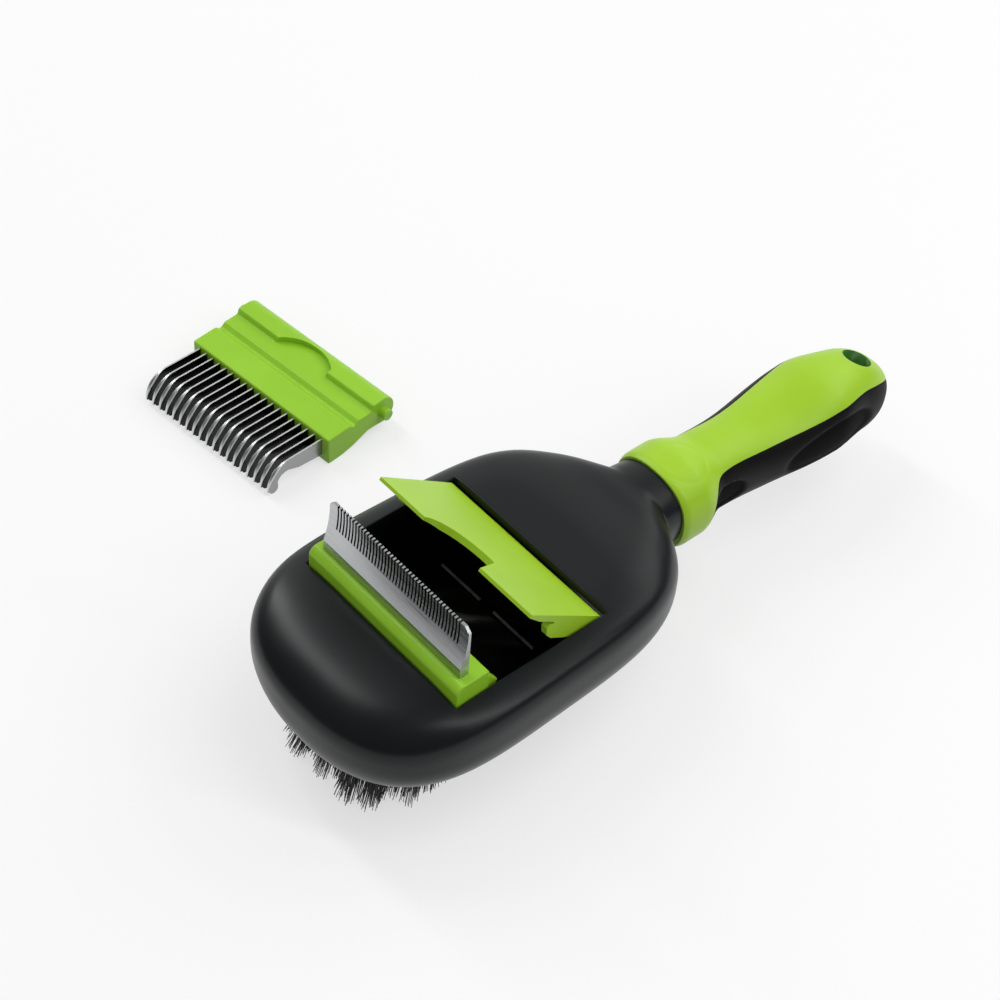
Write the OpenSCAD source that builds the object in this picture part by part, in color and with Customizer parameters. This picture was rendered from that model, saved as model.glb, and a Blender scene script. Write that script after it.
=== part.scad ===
// Two-sided pet grooming tool: a bristle brush below, and above it a compartment whose
// deshedding blade folds away under a hinged flap. A spare rake cartridge lies beside it.
// Origin: centre of the bristle field on the plane of the trimmed tips, +X towards the handle.

/* [Head] */
// Length of the head without its neck
head_len = 132; // [126:1:140]
// Width of the head at its widest
head_w = 87; // [84:0.2:96]
// Height of the parting plane of the two shells above the bristle tips
parting_z = 35; // [34:0.1:37]
// Height of the flat top above the bristle tips
top_z = 49.4; // [48.5:0.1:51]
// Height of the flat underside above the bristle tips
bottom_z = 16.4; // [14:0.1:17.5]
// Rise of the upper section from the parting plane, before the top is cut flat
crown_h = 14.9; // [14.5:0.1:17]
// Drop of the lower section from the parting plane, before the underside is cut flat
keel_h = 22; // [21:0.1:24]
// Wall of the two shells
head_wall = 2.4; // [1.8:0.1:3]
// Half width of the neck where the handle begins
neck_r = 13.8; // [12:0.1:15]
// Distance from the head's centre to the end of its neck
neck_x = 72.8; // [71:0.1:78]

/* [Compartment] */
// Length of the opening across the head
well_w = 68; // [64:0.5:70]
// Length of the opening along the head
well_len = 56.4; // [54:0.1:60]
// Distance from the head's centre to the toe edge of the opening
well_front = 35; // [33:0.1:37]
// Depth of the compartment floor below the top of the opening
well_depth = 20.5; // [19:0.1:22]
// Wall of the compartment tray
tray_wall = 2.2; // [1.8:0.1:2.6]
// Thickness of shell that covers the rim of the tray
rim_cover = 2.2; // [1.9:0.1:2.4]
// Height of the two ribs on the tray floor
floor_rib_h = 2.5; // [1:0.1:3]

/* [Blade cartridge] */
// Depth of the cartridge pivot below the top of the opening
pivot_depth = 5.4; // [5:0.1:6.5]
// Radius of the moulded pivot stubs
stub_r = 2; // [1.6:0.1:2.4]
// Height of the carrier above its pivot
carrier_h = 11.7; // [10:0.1:12]
// Depth of the carrier behind its pivot
carrier_back = 6.6; // [5.5:0.1:7]
// Length of the deshedding blade
blade_len = 61.4; // [52:0.2:63]
// Height of the blade edge above the pivot
blade_reach = 31; // [26:0.1:31.2]
// Thickness of the blade at its spine
blade_t = 3.2; // [2.4:0.1:3.6]
// Thickness of the blade at its toothed edge
edge_t = 1; // [0.6:0.1:1.4]
// Distance from the carrier front to the blade
blade_set = 3.2; // [2.6:0.1:4]
// Pitch of the blade teeth
tooth_pitch = 1.34; // [1.1:0.02:2]
// Width of the slots between the teeth
slot_w = 0.6; // [0.4:0.05:0.8]
// Depth of the slots between the teeth
slot_depth = 9; // [6:0.5:11]
// Height of the blade's plain spine above the carrier
spine_h = 3.8; // [3:0.1:5]
// Depth of the blade's hollow grind
hollow = 0.5; // [0.2:0.05:0.8]
// Least length of plain blade at each end of the row of slots
blade_land = 3.8; // [2:0.1:6]
// Chamfer on the end corners of the blade
blade_corner = 1.7; // [1:0.1:2.4]
// Depth of the blade's tang in the carrier
tang = 4; // [3:0.1:5]
// Radius of the cross pins in the carrier and of the rod in the rake
cross_pin_r = 1; // [0.8:0.1:1.2]
// Thickness of carrier left over the front of its cross pins
pin_skin = 2; // [1.6:0.1:2.4]
// Radius of the carrier's front top edge
carrier_nose = 3; // [2:0.1:4]
// Thickness of the ears at the ends of the carrier
ear_t = 3; // [2.4:0.1:3.6]
// Reach of the ears behind the carrier
ear_reach = 4.2; // [3:0.1:5]

/* [Flap] */
// Angle at which the flap stands open
flap_open = 36.3; // [34:0.1:60]
// Depth of the flap hinge below the flap's top
flap_pivot_depth = 4.3; // [3.8:0.1:5]
// Thickness of the flap plate
flap_t = 2.2; // [1.6:0.1:2.6]
// Thickness of the flap at its free edge
flap_edge_t = 1.1; // [0.8:0.1:1.4]
// Length of the bevel under the flap's free edge
flap_bevel = 5.8; // [4:0.1:7]
// Thickness of the cheeks at the ends of the flap
cheek_t = 2.3; // [1.8:0.1:2.8]
// Radius of the cheeks round the hinge
knuckle_r = 2.6; // [2.2:0.1:3]
// Radius of the hinge pins
hinge_pin_r = 1; // [0.8:0.1:1.2]
// Depth of the finger notch in the flap and the rake
notch_depth = 7; // [4:0.5:8]
// Half length of the finger notch
notch_half = 12.8; // [10:0.2:16]

/* [Bristles] */
// Length of the bristle field
field_len = 109; // [96:1:110]
// Width of the bristle field
field_w = 49; // [40:0.5:50]
// Distance between bristle tufts
tuft_pitch = 6; // [6:0.1:7]
// Distance of the outer tufts from the edge of the field
tuft_inset = 3.6; // [3:0.1:4.5]
// Radius of the ring that the strands of a tuft stand on
tuft_r = 0.9; // [0.7:0.1:1.2]
// Distance by which the outermost strands lean out
edge_lean = 4.4; // [0:0.1:5]
// Thickness of the bristle plate
plate_t = 4; // [3.6:0.1:5]
// Thickness of the slice that the bristles grow from
slice_t = 1; // [0.8:0.1:1.4]
// Radius of a bristle at its root
strand_r = 0.62; // [0.5:0.02:0.7]

/* [Handle] */
// Distance from the head's centre to the end of the handle
handle_end = 177.5; // [172:0.5:190]
// Half width of the collar
collar_r = 16.3; // [15.6:0.1:18]
// Half width of the waist behind the collar
waist_r = 12.7; // [12:0.1:14]
// Half width of the palm swell
palm_r = 16.5; // [15:0.1:18]
// Half width at the hanging hole
tail_r = 13.6; // [12:0.1:15]
// Half height of the collar
collar_hh = 15.1; // [14.8:0.1:16]
// Half height of the waist
waist_hh = 12; // [11.6:0.1:13]
// Half height of the palm swell
palm_hh = 15; // [13.5:0.1:16]
// Height of the handle axis above the bristle tips
handle_z = 33; // [32:0.1:34]
// Thickness of the soft grip
grip_t = 2.4; // [1.8:0.1:2.8]
// Radius of the hanging hole
hang_r = 5; // [3.5:0.1:5.5]
// Distance of the hanging hole from the end of the handle
hang_inset = 12.8; // [12:0.2:18]
// Radius of the spigot that joins head and handle
spigot_r = 7; // [6:0.1:7.5]
// Length of the spigot inside the neck
spigot_root = 14; // [12:0.5:16]
// Length of the spigot inside the handle
spigot_reach = 26; // [22:0.5:30]
// Thickness of the spigot's flange
flange_t = 2.5; // [2:0.1:3]
// Distance from the front of the collar to the soft grip
collar_len = 11.6; // [11:0.1:16]
// Distance from the front of the collar to its screw
collar_screw_in = 5.6; // [5:0.1:7]
// Depth of the collar screw's head below the outside
collar_screw_sink = 2.5; // [2:0.1:3]

/* [Rake cartridge] */
// Number of rake blades
rake_count = 19; // [9:1:21]
// Distance from the ends of the rake body to its outer blades
rake_end = 3.3; // [2.5:0.1:5]
// Thickness of a rake blade
rake_blade_t = 1; // [0.8:0.1:1.4]
// Length of the rake body from its rear to its front
rake_body_len = 30.4; // [28:0.2:33]
// Height of the rake body at its front
rake_body_h = 13.2; // [12:0.1:14.5]
// Overall length of the rake with its blades
rake_len = 55; // [50:0.5:56]
// Length of the raised rear plate
rake_plate = 9.8; // [9:0.1:12]
// Height of the raised rear plate over the rest of the rake
rake_drop = 2.2; // [1.6:0.1:2.6]
// Length of the flat between the rear plate and the groove
rake_flat = 5.4; // [3:0.1:6]
// Width of the groove across the rake
rake_groove_w = 5; // [3:0.1:6]
// Depth of the groove across the rake
rake_groove_d = 1.8; // [1:0.1:2.4]
// Distance from the top of the rake's front down to its blades
rake_shoulder = 1.3; // [0.8:0.1:2]
// Radius of the bend at the front of a rake blade
rake_bend = 9; // [8:0.1:10]
// Length of a rake blade's tang in the body
rake_tang_len = 11; // [9:0.5:12]
// Height of a rake blade's tang
rake_tang_h = 6.4; // [5.6:0.1:6.8]
// Where the rake lies: distance of its rear edge along the head
rake_x = 50; // [40:1:60]
// Where the rake lies: distance of its middle from the head
rake_y = 134; // [110:1:150]
// Angle at which the rake lies
rake_yaw = 6.1; // [0:0.1:12]

/* [Screws and fits] */
// Radius of the screw shafts
screw_r = 1.5; // [1.2:0.1:1.7]
// Radius of the screw heads
screw_head_r = 2.8; // [2.4:0.1:3.2]
// Height of the screw heads
screw_head_h = 1.8; // [1.4:0.1:2.2]
// Radial running clearance of pins in their holes
pin_fit = 0.05; // [0.02:0.01:0.1]
// Side clearance of moving pieces in the opening
side_gap = 0.4; // [0.3:0.05:0.8]
// Radial clearance round the screw heads
head_fit = 0.2; // [0.1:0.05:0.4]

/* [Hidden] */
$fn = 48;
green = "#9CCB3B";
black = "#26282A";
gloss = "#0C0D0E";
grip_black = "#1A1A1B";
steel = "#A6ABAF";
// exponents of the head's plan and of its upper and lower sections
plan_p = 3.8;
plan_q = 2.4;
crown_m = 3.3;
crown_square = 1.5;
keel_m = 2.4;
neck_m = 2.2;
end_p = 4;
end_q = 3.2;
head_taper = -0.06;
// the neck's rise and drop from the parting plane, and the length of its flare
neck_up = 11.1;
neck_down = 15.4;
flare_w = 16;
flare_len = 30;
// the well, its pivots and the flap's closed free edge, in the head's frame
well_x0 = -well_front;
well_x1 = well_x0 + well_len;
well_top = top_z - 0.4;
floor_z = well_top - well_depth;
rim_z = well_top - rim_cover;
tray_x0 = well_x0 - tray_wall;
tray_x1 = well_x1 + tray_wall;
tray_hw = well_w / 2 + tray_wall;
pivot_x = well_x0 + side_gap + carrier_front();
pivot_z = well_top - pivot_depth;
flap_x = well_x1 - side_gap - flap_pivot_depth;
flap_z = well_top - flap_pivot_depth;
carrier_hw = well_w / 2 - side_gap;
flap_hw = well_w / 2 - side_gap - 0.2;
flap_len = flap_x - (pivot_x + carrier_h + side_gap);
blade_pin_y = 0.36 * blade_len;
blade_pins_at = [-blade_pin_y, 0, blade_pin_y];
blade_pin_z = carrier_h - tang / 2;
// bristle plate and its pocket
pocket_depth = 2.6;
pocket_z = bottom_z + pocket_depth;
plate_margin = 2.4;
field_m = 3.6;
plate_fit = 0.2;
inner_floor_z = pocket_z + 2.6;
plate_bottom_z = pocket_z - plate_t;
tip_cut = 0.5;
// handle stations along X
collar_x = neck_x;
grip_x = collar_x + collar_len;
cap_len = 24.5;
hang_x = handle_end - hang_inset;
spigot_z = handle_z - 0.4;
spigot_end = collar_x + spigot_reach;
bulkhead_x = neck_x - spigot_root;
collar_screw_x = collar_x + collar_screw_in;
collar_seat_z = handle_z - collar_hh + collar_screw_sink;
// rake
rake_hw = carrier_hw - 0.6;
rake_top = rake_body_h;
rake_pivot = pivot_depth;
rake_low = rake_top - rake_drop;
rake_span = 2 * (rake_hw - rake_end);
rake_pitch = rake_span / (rake_count - 1);
rake_tang_z = 2.2;
rake_rod_x = rake_tang_len / 2 + 1.9 - rake_body_len;
rake_rod_z = rake_tang_z + rake_tang_h / 2;
// screw places
shell_screws_at = [[-47, -13], [-47, 13], [46, -13], [46, 13]];
plate_screws_at = [-29.5, 29.5];

function rake_blade_name(i) = str("rake_blade_", i < 10 ? "0" : "", i);
function carrier_front() = pivot_depth - 0.3;
function spow(v, e) = sign(v) * pow(abs(v), e);
function clamp01(t) = min(1, max(0, t));
function ease(x, a, b) = let (t = clamp01((x - a) / (b - a))) t * t * (3 - 2 * t);
function blend(a, b, s) = pow(pow(a, s) + pow(b, s), 1 / s);
function flatten(rows) = [for (row = rows) for (p = row) p];
function middle(ring) = let (one = [for (p = ring) 1]) one * ring / len(ring);

// Closed solid through a list of rings of equal length, capped from each end ring's middle
module skin(rings) {
    n = len(rings[0]);
    last = len(rings) - 1;
    first_mid = n * (last + 1);
    mids = n == 3 ? [] : [middle(rings[0]), middle(rings[last])];
    sides = [for (j = [0 : last - 1], i = [0 : n - 1])
        let (k = (i + 1) % n, a = j * n, b = a + n)
        each [[a + i, b + i, b + k], [a + i, b + k, a + k]]];
    b = last * n;
    caps = n == 3 ? [[0, 1, 2], [b, b + 2, b + 1]] : [for (i = [0 : n - 1])
        let (k = (i + 1) % n)
        each [[first_mid, i, k], [b + i, first_mid + 1, b + k]]];
    polyhedron(concat(flatten(rings), mids), concat(sides, caps));
}

// Head: half width, rise and drop of its section at x, for a skin that lies inset from the outside
function along(x, inset) = x / (head_len / 2 - inset);
function swell(x, inset, p, q) = pow(max(0, 1 - pow(min(1, abs(along(x, inset))), p)), 1 / q);
function flare(x) = neck_r + flare_w * pow(max(0, (neck_x - x) / flare_len), 2) * ease(x, 20, 60);
function half_width(x, inset) =
    let (
        taper = 1 + head_taper * along(x, inset),
        body = (head_w / 2 - inset) * swell(x, inset, plan_p, plan_q) * taper
    )
    x < 30 ? body : blend(body, flare(x) * ease(x, 30, 70), 5);
function rise(x, inset) =
    let (body = (crown_h - inset) * swell(x, inset, end_p, end_q))
    x < 30 ? body : blend(body, neck_up * ease(x, 30, 60), 8);
function drop(x, inset) =
    let (body = (keel_h - inset) * swell(x, inset, end_p, end_q))
    x < 30 ? body : blend(body, neck_down * ease(x, 30, 60), 8);
function section(x, inset, turn, low, high) =
    let (
        to_neck = ease(x, 46, neck_x),
        over_well = crown_m + crown_square * (1 - ease(abs(x), -well_x0, 60)),
        m = (sin(turn) >= 0 ? over_well : keel_m) * (1 - to_neck) + neck_m * to_neck,
        h = sin(turn) >= 0 ? rise(x, inset) : drop(x, inset),
        z = parting_z + h * spow(sin(turn), 2 / m)
    )
    [x, half_width(x, inset) * spow(cos(turn), 2 / m), min(high, max(low, z))];
toe_turns = [for (j = [0 : 11]) 2 + 8 * j];
function head_stations(inset, rear) = concat(
    [for (t = toe_turns) -(head_len / 2 - inset) * cos(t)],
    [for (j = [1 : 6]) 9 * j],
    [for (x = [56.5 : 2 : rear - 0.5]) x],
    [rear]
);
arc_steps = 20;
module head_half(from) {
    skin([for (x = head_stations(0, neck_x))
        [for (i = [0 : arc_steps]) section(x, 0, from + 180 * i / arc_steps, bottom_z, top_z)]]);
}
module head_cavity() {
    skin([for (x = head_stations(head_wall, bulkhead_x))
        [for (i = [0 : 2 * arc_steps - 1])
            section(x, head_wall, 180 * (i + 0.5) / arc_steps, inner_floor_z, top_z - head_wall)]]);
}
module spigot_bore() {
    translate([bulkhead_x - 5, 0, spigot_z])
        rotate([0, 90, 0])
            cylinder(r = spigot_r + pin_fit, h = neck_x - bulkhead_x + 6);
}
module at_shell_screws() {
    for (p = shell_screws_at) translate([p[0], p[1], 0]) children();
}

module head_top_shell() {
    boss_r = screw_r + 2.2;
    color(black) difference() {
        union() {
            difference() {
                head_half(0);
                head_cavity();
            }
            at_shell_screws()
                translate([0, 0, parting_z]) cylinder(r = boss_r, h = top_z - parting_z - 1);
        }
        translate([well_x0, -well_w / 2, floor_z]) cube([well_len, well_w, well_depth + 5]);
        translate([tray_x0 - pin_fit, -tray_hw - pin_fit, 0])
            cube([tray_x1 - tray_x0 + 2 * pin_fit, 2 * (tray_hw + pin_fit), rim_z]);
        at_shell_screws() translate([0, 0, parting_z - 1]) cylinder(r = screw_r + pin_fit, h = 9);
        spigot_bore();
    }
}

module field_outline(grow) {
    polygon([for (a = [0 : 7.5 : 352.5]) [
        (field_len / 2 + grow) * spow(cos(a), 2 / field_m),
        (field_w / 2 + grow) * spow(sin(a), 2 / field_m)
    ]]);
}

module head_base_shell() {
    post_r = screw_head_r + 1.6;
    rib_x = [well_x0 + 6, well_x1 - 8];
    tray_under = floor_z - tray_wall;
    color(black) difference() {
        union() {
            difference() {
                head_half(180);
                head_cavity();
            }
            at_shell_screws()
                translate([0, 0, pocket_z + 0.5]) cylinder(r = post_r, h = parting_z - pocket_z - 0.5);
            for (x = rib_x)
                translate([x, -20, inner_floor_z - 1]) cube([2, 40, tray_under - inner_floor_z + 1]);
        }
        translate([0, 0, bottom_z - 1])
            linear_extrude(height = pocket_depth + 1) field_outline(plate_margin + plate_fit);
        at_shell_screws()
            translate([0, 0, pocket_z - 1]) cylinder(r = screw_head_r + head_fit, h = screw_head_h + 1);
        at_shell_screws()
            translate([0, 0, pocket_z]) cylinder(r = screw_r + pin_fit, h = parting_z);
        for (x = plate_screws_at)
            translate([x, 0, pocket_z - 1]) cylinder(r = screw_r + pin_fit, h = 8);
        translate([tray_x0 - pin_fit, -tray_hw - pin_fit, tray_under])
            cube([tray_x1 - tray_x0 + 2 * pin_fit, 2 * (tray_hw + pin_fit), 40]);
        spigot_bore();
    }
}

module compartment_tray() {
    rib_x = well_x0 + 41;
    color(gloss) difference() {
        translate([tray_x0, -tray_hw, floor_z - tray_wall])
            cube([tray_x1 - tray_x0, 2 * tray_hw, rim_z - floor_z + tray_wall]);
        difference() {
            translate([well_x0, -well_w / 2, floor_z]) cube([well_len, well_w, well_depth]);
            for (side = [-1, 1])
                translate([rib_x, side > 0 ? 3 : -21, floor_z - 1]) cube([1.2, 18, floor_rib_h + 1]);
        }
        translate([pivot_x, 0, pivot_z]) rotate([90, 0, 0])
            cylinder(r = stub_r + pin_fit, h = 2 * tray_hw + 2, center = true);
        translate([flap_x, 0, flap_z]) rotate([90, 0, 0])
            cylinder(r = hinge_pin_r + pin_fit, h = 2 * tray_hw + 2, center = true);
    }
}

module screw(shaft) {
    cylinder(r = screw_head_r, h = screw_head_h);
    cylinder(r = screw_r, h = shaft);
}
module shell_screws() {
    color(steel) at_shell_screws() translate([0, 0, pocket_z]) screw(parting_z - pocket_z + 7);
}

module bristle_plate() {
    color(gloss) difference() {
        translate([0, 0, plate_bottom_z + slice_t])
            linear_extrude(height = plate_t - slice_t) field_outline(plate_margin);
        for (x = plate_screws_at) translate([x, 0, 0]) {
            cylinder(r = screw_r + pin_fit, h = bottom_z + 10);
            cylinder(r = screw_head_r + head_fit, h = plate_bottom_z + slice_t + screw_head_h);
        }
    }
}
module plate_screws() {
    color(steel) for (x = plate_screws_at)
        translate([x, 0, plate_bottom_z + slice_t]) screw(plate_t - slice_t + 6);
}

// Bristles: tufts of three leaning strands on a staggered grid, one strand upright at the origin
function jitter(i, j, k) = let (v = sin(i * 127.1 + j * 311.7 + k * 74.7) * 43.7585) v - floor(v);
tuft_rows = floor((field_w / 2 - tuft_inset) / (0.866 * tuft_pitch));
tuft_cols = floor((field_len / 2 - tuft_inset) / tuft_pitch);
row_step = (field_w / 2 - tuft_inset) / tuft_rows;
col_step = (field_len / 2 - tuft_inset) / tuft_cols;
function in_field(x, y, margin) =
    pow(abs(x) / (field_len / 2 - margin), field_m) + pow(abs(y) / (field_w / 2 - margin), field_m) < 1;
function clear_of_screws(x, y) =
    min([for (s = plate_screws_at) norm([x - s, y])]) > screw_head_r + 1.2;
tufts = [for (j = [-tuft_rows : tuft_rows], i = [-tuft_cols - 1 : tuft_cols])
    let (x = (i + (j % 2 == 0 ? 0 : 0.5)) * col_step, y = j * row_step)
    if (in_field(x, y, 1) && clear_of_screws(x, y)) [x, y, i, j]];
module strand(root, lean, foot, turn) {
    // a strand that would reach below the ground is cut flat on it
    tip = max(0, foot);
    reach = (plate_bottom_z - tip) / (plate_bottom_z - foot);
    function ring(centre, r, z) = [for (a = [0, 120, 240])
        [centre[0] + r * cos(turn + a), centre[1] + r * sin(turn + a), z]];
    skin([
        ring(root + reach * lean, strand_r * (1 - 0.2 * reach), tip),
        ring(root, strand_r, plate_bottom_z),
        ring(root, strand_r, plate_bottom_z + slice_t / 2)
    ]);
}
module bristle_tufts() {
    height = plate_bottom_z + slice_t;
    color(gloss) resize([0, 0, height]) union() {
        translate([0, 0, plate_bottom_z]) linear_extrude(height = slice_t) difference() {
            field_outline(plate_margin);
            for (x = plate_screws_at) translate([x, 0]) circle(r = screw_head_r + head_fit, $fn = 16);
        }
        for (t = tufts, k = [0 : 2])
            let (
                a = 120 * k + 360 * jitter(t[2], t[3], 5),
                upright = t[2] == 0 && t[3] == 0 && k == 0,
                root = [t[0], t[1]] + (upright ? [0, 0] : tuft_r * [cos(a), sin(a)]),
                out = [t[0] * field_w / field_len, t[1]] * 2 / field_w,
                splay = (0.3 + 0.7 * jitter(t[2], t[3], k)) * [cos(a), sin(a)],
                lean = upright ? [0, 0] : splay + edge_lean * norm(out) * out,
                foot = (upright ? 0 : 2.2 * pow(jitter(t[2], t[3], k + 9), 3)) - tip_cut
            )
            strand(root, lean, foot, a);
    }
}

module neck_spigot() {
    color(black) difference() {
        translate([bulkhead_x, 0, spigot_z]) rotate([0, 90, 0]) {
            cylinder(r = spigot_r, h = spigot_end - bulkhead_x);
            translate([0, 0, -flange_t]) cylinder(r = spigot_r + 2, h = flange_t);
        }
        translate([collar_screw_x, 0, spigot_z - spigot_r - 1]) cylinder(r = screw_r + pin_fit, h = 11);
    }
}

// Handle: half width, half height and axis of its section at x
function cap_scale(x) =
    pow(max(0, 1 - pow(clamp01((x - handle_end + cap_len) / cap_len), 2.3)), 1 / 2.3);
function lip_scale(x) = 1 - 0.05 * pow(1 - clamp01((x - collar_x) / 2.6), 2);
function handle_hw(x) = cap_scale(x) * lip_scale(x) * (collar_r
    + (waist_r - collar_r) * ease(x, collar_x + 9.8, collar_x + 20.8)
    + (palm_r - waist_r) * ease(x, collar_x + 25.8, collar_x + 67.8)
    + (tail_r - palm_r) * ease(x, collar_x + 71.2, collar_x + 87.2));
function handle_hh(x) = cap_scale(x) * lip_scale(x) * (collar_hh
    + (waist_hh - collar_hh) * ease(x, collar_x + 8.8, collar_x + 21.8)
    + (palm_hh - waist_hh) * ease(x, collar_x + 39.8, collar_x + 77.8));
axis_sink = 1.4;
end_sink = 6.2;
function handle_axis(x) = handle_z - axis_sink * ease(x, collar_x + 16.8, collar_x + 41.8)
    - end_sink * pow(max(0, 1 - (handle_end - x) / 34.5), 1.5);
// half angle of the green top, from all round at the collar to a cap along the palm
function green_turn(x) = 48 + 6 * ease(x, collar_x + 41.8, collar_x + 73.8)
    + 124 * exp(-max(0, x - grip_x) / 2.6);
function grip_depth(x) = grip_t * clamp01((x - grip_x) / 1.6) * min(1, 1.6 * cap_scale(x));
handle_m = 2.4;
function handle_point(x, turn, inset) = [
    x,
    (handle_hw(x) - inset) * spow(cos(turn), 2 / handle_m),
    handle_axis(x) + (handle_hh(x) - inset) * spow(sin(turn), 2 / handle_m)
];
arc_points = 14;
function top_arc(x) = [for (i = [0 : arc_points])
    handle_point(x, 90 + green_turn(x) * (2 * i / arc_points - 1), 0)];
function low_arc(x, inset) = [for (i = [0 : arc_points])
    let (g = green_turn(x)) handle_point(x, 90 + g + (360 - 2 * g) * i / arc_points, inset)];
collar_stations = [for (d = [0, 0.07, 0.2, 0.45, 0.7, 0.88, 1]) collar_x + d * collar_len];
grip_stations = concat(
    [for (d = [0.3, 0.9, 1.6, 2.8, 4.6, 7, 10, 14]) grip_x + d],
    [for (d = [21 : 8 : 69]) grip_x + d],
    [for (a = [20, 32, 44, 55, 65, 74, 82]) handle_end - cap_len * (1 - sin(a))]
);
module hang_bore() {
    translate([hang_x, 0, 0]) cylinder(r = hang_r, h = 60);
}

module handle_core() {
    color(green) difference() {
        skin([for (x = concat(collar_stations, grip_stations))
            concat(top_arc(x), low_arc(x, grip_depth(x)))]);
        hang_bore();
        translate([collar_x - 1, 0, spigot_z]) rotate([0, 90, 0])
            cylinder(r = spigot_r + pin_fit, h = spigot_end - collar_x + 1.5);
        translate([collar_screw_x, 0, 0]) cylinder(r = screw_r + pin_fit, h = spigot_z);
        translate([collar_screw_x, 0, 0]) cylinder(r = screw_head_r + head_fit, h = collar_seat_z);
    }
}
module handle_grip() {
    n = arc_points + 1;
    rings = [for (x = grip_stations) concat(low_arc(x, 0), [for (i = [arc_points : -1 : 0])
        low_arc(x, grip_depth(x))[i]])];
    last = len(rings) - 1;
    m = 2 * n;
    // the inner faces are split along the core's own diagonals, so that the two meet face to face
    sides = [for (j = [0 : last - 1], i = [0 : m - 1])
        let (k = (i + 1) % m, a = j * m, b = a + m)
        each i < n - 1
            ? [[a + i, b + i, b + k], [a + i, b + k, a + k]]
            : [[a + i, b + i, a + k], [b + i, b + k, a + k]]];
    ends = [for (i = [0 : n - 2])
        let (o = i, q = m - 1 - i, b = last * m)
        each [
            [q, o, o + 1], [q, o + 1, q - 1],
            [b + o, b + q, b + o + 1], [b + o + 1, b + q, b + q - 1]
        ]];
    color(grip_black) difference() {
        polyhedron(flatten(rings), concat(sides, ends));
        hang_bore();
    }
}
module collar_screw() {
    color(steel) translate([collar_screw_x, 0, collar_seat_z - screw_head_h])
        screw(spigot_z - collar_seat_z + screw_head_h - 1);
}

// Swings a cartridge or flap profile, drawn in X and Z about its pivot, across the head
module across(half) {
    rotate([90, 0, 0]) linear_extrude(height = 2 * half, center = true) children();
}

module at_pivot() {
    translate([pivot_x, 0, pivot_z]) children();
}
module blade_carrier() {
    front = carrier_front();
    nose = carrier_nose;
    color(green) at_pivot() difference() {
        union() {
            across(carrier_hw) {
                circle(r = front);
                translate([-front, 0]) square([front + carrier_back, carrier_h - nose]);
                translate([nose - front, 0]) square([front + carrier_back - nose, carrier_h]);
                translate([nose - front, carrier_h - nose]) circle(r = nose);
            }
            for (side = [-1, 1])
                translate([0, side * (carrier_hw - ear_t / 2), 0]) across(ear_t / 2)
                    polygon([[0, 0], [carrier_back + 0.86 * ear_reach, 0.15 * carrier_h],
                        [carrier_back + ear_reach, 0.36 * carrier_h],
                        [carrier_back + 0.29 * ear_reach, 0.7 * carrier_h], [0, 0.7 * carrier_h]]);
            rotate([90, 0, 0]) cylinder(r = stub_r, h = 2 * (tray_hw - 0.4), center = true);
        }
        translate([blade_set - front - pin_fit, -blade_len / 2 - pin_fit, carrier_h - tang - pin_fit])
            cube([blade_t + 2 * pin_fit, blade_len + 2 * pin_fit, tang + 1]);
        for (y = blade_pins_at)
            translate([pin_skin - front, y, blade_pin_z]) rotate([0, 90, 0])
                cylinder(r = cross_pin_r + pin_fit, h = front + carrier_back);
    }
}

module deshedding_blade() {
    x0 = blade_set - carrier_front();
    x1 = x0 + blade_t;
    spine = carrier_h + spine_h;
    // hollow-ground front face, an arc that sinks below the straight line from spine to edge
    ground = [for (i = [0 : 6])
        let (s = i / 6)
        [x0 + (blade_t - edge_t) * s + hollow * 4 * s * (1 - s), spine + (blade_reach - spine) * s]];
    slots = floor((blade_len - 2 * blade_land) / tooth_pitch / 2);
    corner = blade_corner * sqrt(2);
    color(steel) at_pivot() difference() {
        across(blade_len / 2)
            polygon(concat(
                [[x1, carrier_h - tang], [x0, carrier_h - tang]], ground, [[x1, blade_reach]]
            ));
        for (k = [-slots : slots])
            translate([x0 - 1, k * tooth_pitch - slot_w / 2, blade_reach - slot_depth])
                cube([blade_t + 2, slot_w, slot_depth + 1]);
        for (side = [-1, 1])
            translate([x0 - 1, side * blade_len / 2, blade_reach]) rotate([45, 0, 0])
                translate([0, -corner / 2, -corner / 2]) cube([blade_t + 2, corner, corner]);
        for (y = blade_pins_at)
            translate([x0 - 1, y, blade_pin_z]) rotate([0, 90, 0])
                cylinder(r = cross_pin_r + pin_fit, h = blade_t + 2);
    }
}

module blade_pins() {
    front = carrier_front();
    color(steel) at_pivot() for (y = blade_pins_at)
        translate([pin_skin - front, y, blade_pin_z]) rotate([0, 90, 0])
            cylinder(r = cross_pin_r, h = front + carrier_back - pin_skin);
}

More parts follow.
